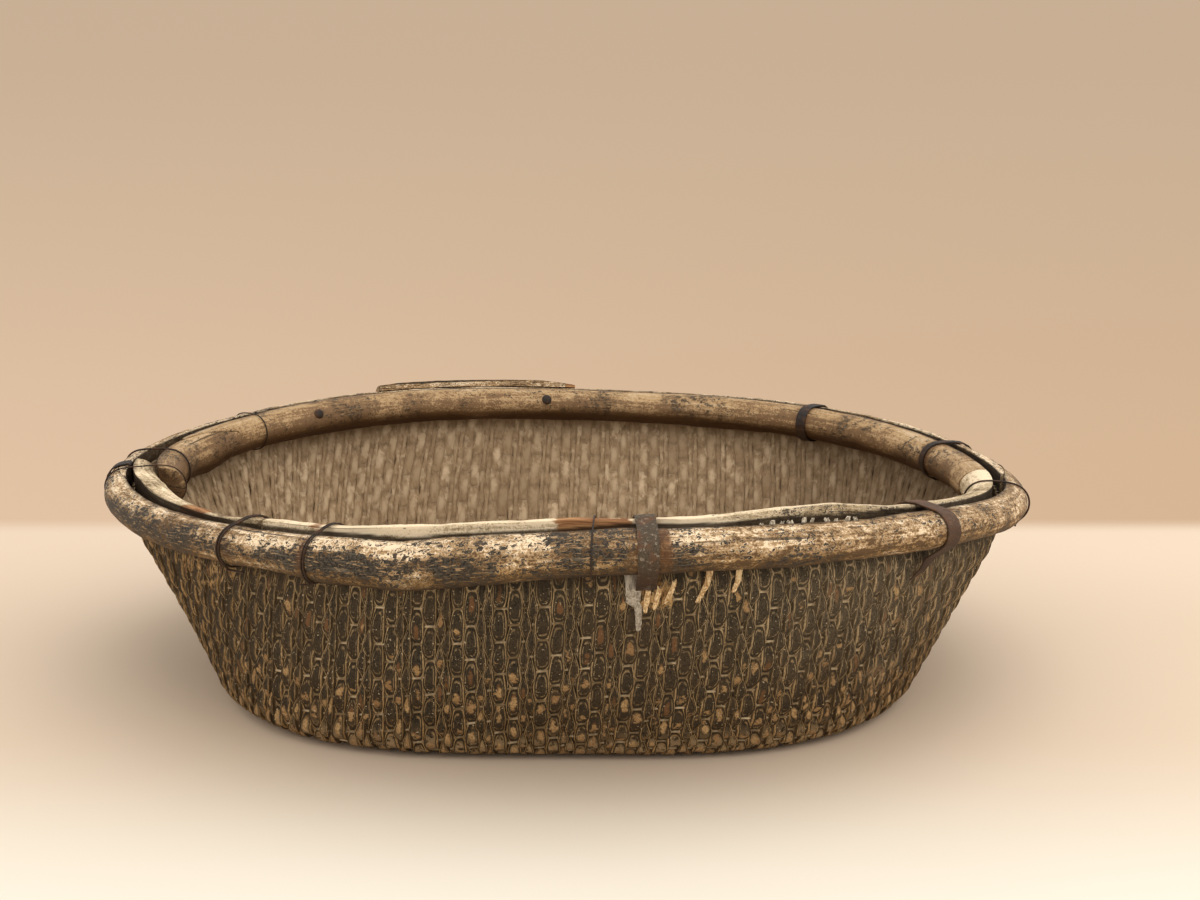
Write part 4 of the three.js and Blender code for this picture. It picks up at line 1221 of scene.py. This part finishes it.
# Of each pole: finish and slot; how much bark is left, and strength, size in mm and seed of its
# patches; how cream it is, how much more between two heights, and the strength of its clouds
POLE_LOOKS = {
    "outer_front": (mottled, "dark_pole", 0, ((0.46, 20, 31), (0.16, 7, 32)),
                    0, (0.22, -0.3, 0.7), 1),
    "outer_back": (mottled, "brown_pole", 0.32, ((0.30, 22, 33), (0.16, 7, 32)),
                   0.30, (0.30, 0.2, 0.9), 1),
    "inner_front_left": (bleached, "pale_pole", 0.10, ((0.22, 18, 35),),
                         0.22, (0.16, 0.2, 0.9), 1),
    "inner_front_middle": (bleached, "pale_pole", 0.10, ((0.22, 18, 35),),
                           0.60, (0.16, 0.2, 0.9), 1.2),
    "inner_front_right": (bleached, "pale_pole", 0.14, ((0.20, 18, 35),),
                          0.52, (0.16, 0.2, 0.9), 1.2),
    "inner_end_block": (handled, "brown_pole", 0.22, ((0.25, 14, 35),),
                        0.26, (0.16, 0.2, 0.9), 1),
    "inner_back": (handled, "brown_pole", 0.30, ((0.34, 22, 34), (0.16, 8, 39)),
                   0.16, (0.25, 0.35, 0.95), 1),
    "inner_back_left": (handled, "brown_pole", 0.30, ((0.34, 22, 34), (0.16, 8, 39)),
                        0.16, (0.25, 0.35, 0.95), 1),
}
# Angle, half its length in degrees, and strength
TORN_SPOTS = {
    "inner_front_left": ((-150.5, 4.2, 0.95),),
    "inner_front_middle": ((-87.5, 6.5, 1.0), (-125.3, 1.6, 0.5)),
    "inner_front_right": ((-88.5, 4.5, 1.0), (-82.8, 2.0, 0.8)),
    "outer_front": ((-79.2, 1.0, 0.5),),
}
RUST_SPOTS = {
    "outer_front": ((-79.4, 1.1, 0.7), (-81.2, 2.4, 0.4), (-123.6, 0.9, 0.6), (-42.8, 2.8, 0.4),
                    (-136.2, 1.0, 0.2), (-13, 1.5, 0.3)),
    "outer_back": ((47, 3, 0.4), (16.5, 3, 0.4)),
    "inner_front_middle": ((-123, 1.3, 0.4),),
    "inner_front_right": ((-42.8, 2.4, 0.5), (-81, 1.8, 0.3)),
    "inner_back": ((47, 2.2, 0.5), (16.5, 2.2, 0.6)),
}
print(len(POLE_LOOKS), "looks,", sum(map(len, RUST_SPOTS.values())), "spots of rust")

# %% [markdown]
# ## Bark, paleness, grime and painted shade
# Bark falls off in patches, and wood bleaches on top, where the cream is partly a painted
# highlight. Undersides are darker, partly grime and partly painted shade, and flat backs in the
# seams carry painted shade. These could be painted by hand on a picture. Here each is worked
# out for every point from its place on the pole, which needs no picture and fits any length.


# %% Bark, paleness, grime and painted shade
def bark_share(name, angle, turn, points):
    """How much bark is left, round 0.5 where it comes and goes."""
    height = np.sin(turn)
    share = POLE_LOOKS[name][2] + 0 * angle
    if name == "outer_front":
        band = np.exp(-(((height - 0.15) / 0.45) ** 2))
        share = curve(angle, *OUTER_BARK) + (band - 0.5) * 0.40 * ease(-angle, 96, 110)
    if name == "inner_front_right":
        seam = ease(height, 0.1, 0.5) * (1 - ease(np.cos(turn), 0.0, 0.25))
        share = share + 0.29 * seam * ease(angle, -74, -62) * ease(-angle, 24, 34)
    for strength, size, seed in POLE_LOOKS[name][3]:
        share = share + strength * lumps(points, size * MM, seed)
    return share


def pale_share(name, angle, turn, points):
    """How cream the wood is, creamier towards the top, partly from bleaching and partly as a
    painted highlight.
    """
    level, (more, low, high), strength = POLE_LOOKS[name][4:]
    if name == "outer_front":
        level = curve(angle, *OUTER_PALE)
    if name == "inner_front_right":
        level = level - 0.14 * ease(angle, -72, -50)
    if name == "inner_front_middle":
        level = level - 0.20 * ease(-angle, 120, 132)
    cloud = 0.30 * lumps(points, 30 * MM, 44) + 0.18 * lumps(points, 8 * MM, 45)
    return level + more * ease(np.sin(turn), low, high) + strength * cloud


def shade_and_grime_share(name, angle, turn, points):
    """Dark undersides, partly grime and partly painted shade, and painted shade on flat backs in
    the seams.
    """
    down = -np.sin(turn)
    cloud = lumps(points, 34 * MM, 36)
    back = ease(-np.cos(turn), -0.10, 0.04)
    if name.startswith("inner_front") or name == "inner_end_block":
        # Painted shade on the back of an inner pole stops at the top of the outer pole, so above
        # it the back is as pale as its top
        seam_top = on_rim(angle, 0 * angle + 10 * MM, curve(angle, *OUTER_LIFT) * MM)[:, 2]
        gape = 1.7 * MM * ease(angle, -74, -65) * ease(-angle, 45, 53)
        back = back * ease(seam_top + gape - points[:, 2] + 0.7 * MM * cloud, -0.7 * MM, 0)
        under = 0.9 * ease(down, 0.0, 0.6) + 0.15 * cloud
    elif name == "outer_back":
        # Painted shade on the flat back of the outer back pole, only below the seam
        seam_top = on_rim(angle, 0 * angle - 10 * MM, 0 * angle)[:, 2]
        back = back * ease(seam_top - points[:, 2] + 0.7 * MM * cloud, 1.3 * MM, 2.0 * MM)
        under = ease(down, 0.1, 0.7) + 0.25 * cloud
    elif name == "outer_front":
        under = 0.45 * ease(down, 0.18, 0.50) + 0.55 * ease(down, 0.62, 0.94)
        under = under + 0.30 * cloud * ease(down, 0.0, 0.4)
    else:
        under = 1.1 * ease(down, -0.20, 0.74) + 0.35 * cloud * ease(down, -0.5, 0.1)
    return np.clip(np.maximum(under, back), 0, 1)


def spot_share(spots, angle):
    share = np.zeros_like(angle)
    for centre, half, strength in spots:
        share = np.maximum(share, strength * (1 - ease(np.abs(angle - centre), half * 0.4, half)))
    return share


print("bark is 0.5 where it comes and goes")

# %% [markdown]
# ## Roll up the poles
# Each pole is a grid as long as its share of the rim. Only its round side is bent, knotted and
# grooved, so that its flat side still lies true against the weave. Near a strap or a wire it
# keeps its size, because the iron was wound round the true pole.

# %% Make the poles
POLE_STEP = 1.3 * MM
POLE_SIDES = 52
SLOW_BEND = 0.7 * MM
KNOTS = 0.55 * MM
BARK_HIGH = 0.30 * MM
BARK_CRUMBS = 0.16 * MM
GROOVE_DEEP = 0.30 * MM
# All this relief is set back, so that the pole keeps its size on average
SET_BACK = 0.25 * MM
# The section's way round, in thicknesses, for the ruler
GIRTH = 3.4


def roll_pole(name):
    """One pole, with relief on its round side and the numbers that its finish reads."""
    pole = POLES[name]
    start, end = pole["span"]
    length = np.radians(end - start) * RIM_RADIUS
    piece, s, t = flat_grid(f"pole_{name}", int(length / POLE_STEP), POLE_SIDES)
    angle = start + s * (end - start)
    turn = 2 * np.pi * t - np.pi
    points = on_rim(angle, *section(pole, angle, turn))
    nearest = np.min(np.abs(angle[:, None] - np.array(BINDING_ANGLES)[None, :]), axis=1)
    loose = ease(nearest, 1.0, 4.5)
    bark = bark_share(name, angle, turn, points)
    out_way, rise_way = rim_axes(angle)
    facing = out_way * (np.cos(turn) * pole["side"])[:, None] + rise_way * np.sin(turn)[:, None]
    swell = SLOW_BEND * ripple(41 + int(start) % 7, 2, angle * 0.03) * loose
    swell = swell + KNOTS * lumps(points, 15 * MM, 42, 2) * (0.35 + 0.65 * loose)
    raised = BARK_HIGH * ease(bark, 0.40, 0.55) + BARK_CRUMBS * lumps(points, 3 * MM, 43, 2)
    grooves = ripple(46 + int(start) % 5, 2, angle * 0.12, turn * 6)
    raised = raised - GROOVE_DEEP * ease(grooves, 0.25, 0.6)
    visible = ease(np.cos(turn), -0.3, 0.2)
    points = points + facing * ((swell + raised - SET_BACK) * visible)[:, None]
    lay(piece, points)
    set_ruler(piece, angle * np.radians(1) * RIM_RADIUS + start, t * pole["full"] * GIRTH)
    mark(piece, "bark", bark)
    mark(piece, "pale", pale_share(name, angle, turn, points))
    mark(piece, "shade_and_grime", shade_and_grime_share(name, angle, turn, points))
    mark(piece, "gold", ease(-np.sin(turn), 0.0, 0.45) * (name == "outer_front"))
    upper = ease(np.sin(turn), 0.0, 0.5)
    mark(piece, "torn", spot_share(TORN_SPOTS.get(name, ()), angle) * upper)
    mark(piece, "rust", spot_share(RUST_SPOTS.get(name, ()), angle))
    close_up(piece)
    return piece


for pole_name, (look, slot_name, *_) in POLE_LOOKS.items():
    node_name = pole_name.replace("_", "_hoop_", 1)
    finish_piece(roll_pole(pole_name), look, slot_name, node_name)

# %% [markdown]
# ## Iron
# The straps are flat iron, rusted brown; the narrow ones at the back and the left end are
# black. The wires are dark and thin. The frame already has each of them wound at its true
# place, so a copy of each is taken, its loose triangles are welded, and it is made finer:
# edges are bevelled, faces cut small, and the iron is pitted.


# %% Iron finishes
def iron_finish(name, dark, light, fleck_colour, fleck_share, rough):
    f = Finish(name)
    here = f.place()
    fine = f.noise(here, 1300, 5, 0.72)
    crust = f.noise(here, 420, 4, 0.7)
    patch = f.noise(here, 120, 4, 0.6)
    colour = f.mix(f.step(fine, 0.34, 0.66), dark, light)
    colour = f.mix(f.step(patch, 0.46, 0.62) * 0.6, colour, (0.145, 0.060, 0.024))
    colour = f.mix(f.step(crust, 0.555, 0.62) * fleck_share, colour, fleck_colour)
    # Iron low on the poles is darker
    low_on_pole = 1.0 - f.step(f.parts(here)[2], 0.126, 0.147)
    colour = f.mix(low_on_pole * 0.75, colour, (0.034, 0.015, 0.006))
    f.bump(fine + crust * 1.2, 0.7, 0.4 * MM)
    return f.done(colour, fine * 0.25 + rough, 0.25)


rusty = iron_finish("rusted_strap", (0.040, 0.028, 0.018), (0.105, 0.076, 0.046),
                    (0.36, 0.29, 0.21), 0.55, 0.5)
brown_iron = iron_finish("brown_strap", (0.060, 0.033, 0.021), (0.125, 0.070, 0.042),
                         (0.22, 0.14, 0.085), 0.35, 0.48)
blackened = iron_finish("black_strap", (0.010, 0.010, 0.011), (0.034, 0.032, 0.031),
                        (0.085, 0.06, 0.04), 0.4, 0.42)
dark_wire = iron_finish("dark_wire", (0.013, 0.010, 0.008), (0.042, 0.031, 0.023),
                        (0.10, 0.055, 0.03), 0.4, 0.40)


# %% Finer iron
def welded_copy(node_name, name):
    """A copy of a frame part with its triangles joined into quads."""
    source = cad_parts[node_name]
    piece = bpy.data.objects.new(name, source.data.copy())
    piece.data.name = name
    piece.matrix_world = source.matrix_world
    bpy.context.collection.objects.link(piece)
    choose(piece)
    bpy.ops.object.transform_apply(location=True, rotation=True, scale=True)
    mend(piece, 0.02 * MM, fill=False, quads=True)
    return piece


def apply_all(piece):
    choose(piece)
    for modifier in list(piece.modifiers):
        bpy.ops.object.modifier_apply(modifier=modifier.name)


def finer(piece, levels, kind):
    cut = piece.modifiers.new("finer", "SUBSURF")
    cut.levels = levels
    cut.render_levels = levels
    cut.subdivision_type = kind
    apply_all(piece)


def pitted(piece, depth, size, seed):
    """Pushes the surface in and out a little."""
    points = read_points(piece)
    push = depth * lumps(points, size, seed, 2)
    lay(piece, points + read_points(piece, "normal") * push[:, None])


STRAPS = {"strap_front": (rusty, "rusty_iron"), "strap_right": (brown_iron, "rusty_iron"),
          "strap_back": (blackened, "black_band"), "strap_back_right": (blackened, "black_band"),
          "strap_left_end": (blackened, "black_band")}
for node_name in list(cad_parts):
    if node_name in STRAPS:
        strap = welded_copy(node_name, "forged_" + node_name)
        rounded = strap.modifiers.new("rounded", "BEVEL")
        rounded.width = 0.35 * MM
        rounded.segments = 2
        rounded.limit_method = "ANGLE"
        rounded.angle_limit = np.radians(50)
        apply_all(strap)
        finer(strap, 3, "SIMPLE")
        pitted(strap, 0.16 * MM, 3 * MM, 51)
        smooth(50)
        finish_piece(strap, *STRAPS[node_name], node_name)
    elif node_name.startswith(("wire_", "nail_")):
        iron = welded_copy(node_name, "drawn_" + node_name)
        finer(iron, 2, "CATMULL_CLARK")
        if node_name.startswith("nail_"):
            pitted(iron, 0.12 * MM, 2.5 * MM, 52)
        bpy.ops.object.shade_smooth()
        finish_piece(iron, dark_wire, "dark_wire", node_name)

# %% [markdown]
# ## Splice strip
# Behind the rim a thin split length lies along the outer hoop. Its ends are splintered and
# its face is weathered like the pole below it.

# %% Splice strip
strip = welded_copy("outer_hoop_splice_strip", "weathered_splice_strip")
finer(strip, 4, "SIMPLE")
strip_points = read_points(strip)
strip_x, strip_y, strip_high = strip_points.T
strip_angle = np.degrees(np.arctan2(strip_y - MIDDLE[1], strip_x - MIDDLE[0]))
fibres = (strip_angle * 0.15, strip_high / (2.2 * MM))
pitted(strip, 0.30 * MM, 6 * MM, 53)
strip_top = ease(strip_high, strip_high.max() - 2.2 * MM, strip_high.max() - 1.0 * MM)
patches = 0.30 * lumps(strip_points, 12 * MM, 54)
mark(strip, "bark", 0.16 + 0.45 * strip_top + patches + 0.15 * ripple(55, 3, *fibres))
mark(strip, "pale", 0.40 - 0.2 * strip_top + 0.25 * ripple(56, 3, *fibres))
# Darker along the strip's lowest edge, where it lies on the pole: painted shade and grime
mark(strip, "shade_and_grime", 0.3 * ease(-strip_high, -0.150, -0.142))
mark(strip, "torn", 0.9 * (1 - ease(strip_angle, 91.5, 94.5)))
for share in ("rust", "gold"):
    mark(strip, share, np.zeros(len(strip_angle)))
if not strip.data.uv_layers:
    strip.data.uv_layers.new(name="ruler")
set_ruler(strip, np.radians(strip_angle) * RIM_RADIUS, strip_high * 1.3)
smooth(40)
finish_piece(strip, mottled, "brown_pole", "outer_hoop_splice_strip")

# %% [markdown]
# ## Floor of the room and light
# A pale floor, with bands of painted light and shade across it, that turns to the warm tan of the
# backdrop behind the basket, a large soft lamp above the front right, a weaker one at the left,
# and an even glow from all round.


# %% Stage
HAZE_LOW_LEFT = (0.77, 0.55, 0.375)
HAZE_LOW_RIGHT = (0.68, 0.47, 0.30)
HAZE_TOP = (0.575, 0.43, 0.30)
# The picture is taken from this far back and this high
EYE_BACK = 1.087
EYE_HIGH = 0.359


def haze(f, sideways, drop):
    """Backdrop colour, with painted light: tan and bright low down and at the left, greyer
    towards the top.
    """
    low = f.mix(f.step(sideways, -0.42, 0.42), HAZE_LOW_LEFT, HAZE_LOW_RIGHT)
    return f.mix(f.step(drop, -0.10, 0.27), HAZE_TOP, low)


def floor_finish():
    f = Finish("pale_floor")
    x, y, _ = f.parts(f.place())
    # The floor is painted brightest just in front of the basket, with painted shade in a band
    # across the basket's middle and nearest the camera, and lighter again behind it
    cloth = f.mix(f.step(y, -0.40, -0.12), (0.885, 0.83, 0.72), (0.76, 0.61, 0.46))
    cloth = f.mix(f.step(y, 0.05, 0.36), cloth, (0.84, 0.68, 0.525))
    cloth = f.mix(f.step(y, -0.40, -0.62), cloth, (0.70, 0.575, 0.44))
    cloth = f.mix(f.noise(f.place(), 3, 2) * 0.12, cloth, (0.62, 0.50, 0.38))
    away = y + EYE_BACK
    backdrop = f.node("ShaderNodeEmission")
    f.feed(backdrop.inputs["Color"], haze(f, x / away, EYE_HIGH / away))
    f.show_instead(f.step(y, 0.365, 0.425) * f.seen_straight(), backdrop, "Material Output")
    return f.done(cloth, 0.9)


choose()
bpy.ops.mesh.primitive_plane_add(size=16, location=(0, 0, -0.0002))
studio_floor = bpy.context.object
studio_floor.name = "studio_floor"
studio_floor.data.materials.append(floor_finish())

world = bpy.data.worlds.new("studio")
bpy.context.scene.world = world
sky = Finish("studio", world)
sky.shader.inputs["Color"].default_value = (1.0, 0.96, 0.91, 1)
sky.shader.inputs["Strength"].default_value = 0.76
sky_x, sky_y, sky_z = sky.parts(sky.give(sky.node("ShaderNodeTexCoord"), "Generated"))
sky_ahead = sky_y.at_least(0.01)
seen = sky.node("ShaderNodeBackground")
sky.feed(seen.inputs["Color"], haze(sky, sky_x / sky_ahead, sky_z * -1.0 / sky_ahead))
sky.show_instead(sky.seen_straight(), seen, "World Output")


def lamp(name, place, size, watts, colour):
    """A round lamp that shines on the basket."""
    data = bpy.data.lights.new(name, "AREA")
    data.shape = "DISK"
    data.size = size
    data.energy = watts
    data.color = colour
    made = bpy.data.objects.new(name, data)
    made.location = place
    look = Vector((0, 0, 0.08)) - Vector(place)
    made.rotation_euler = look.to_track_quat("-Z", "Y").to_euler()
    bpy.context.collection.objects.link(made)


lamp("key_lamp", (0.75, -0.60, 1.9), 3.2, 32, (1.0, 0.97, 0.93))
lamp("fill_lamp", (-0.9, -1.3, 1.2), 1.6, 5, (1.0, 0.95, 0.9))
print("lamps set")
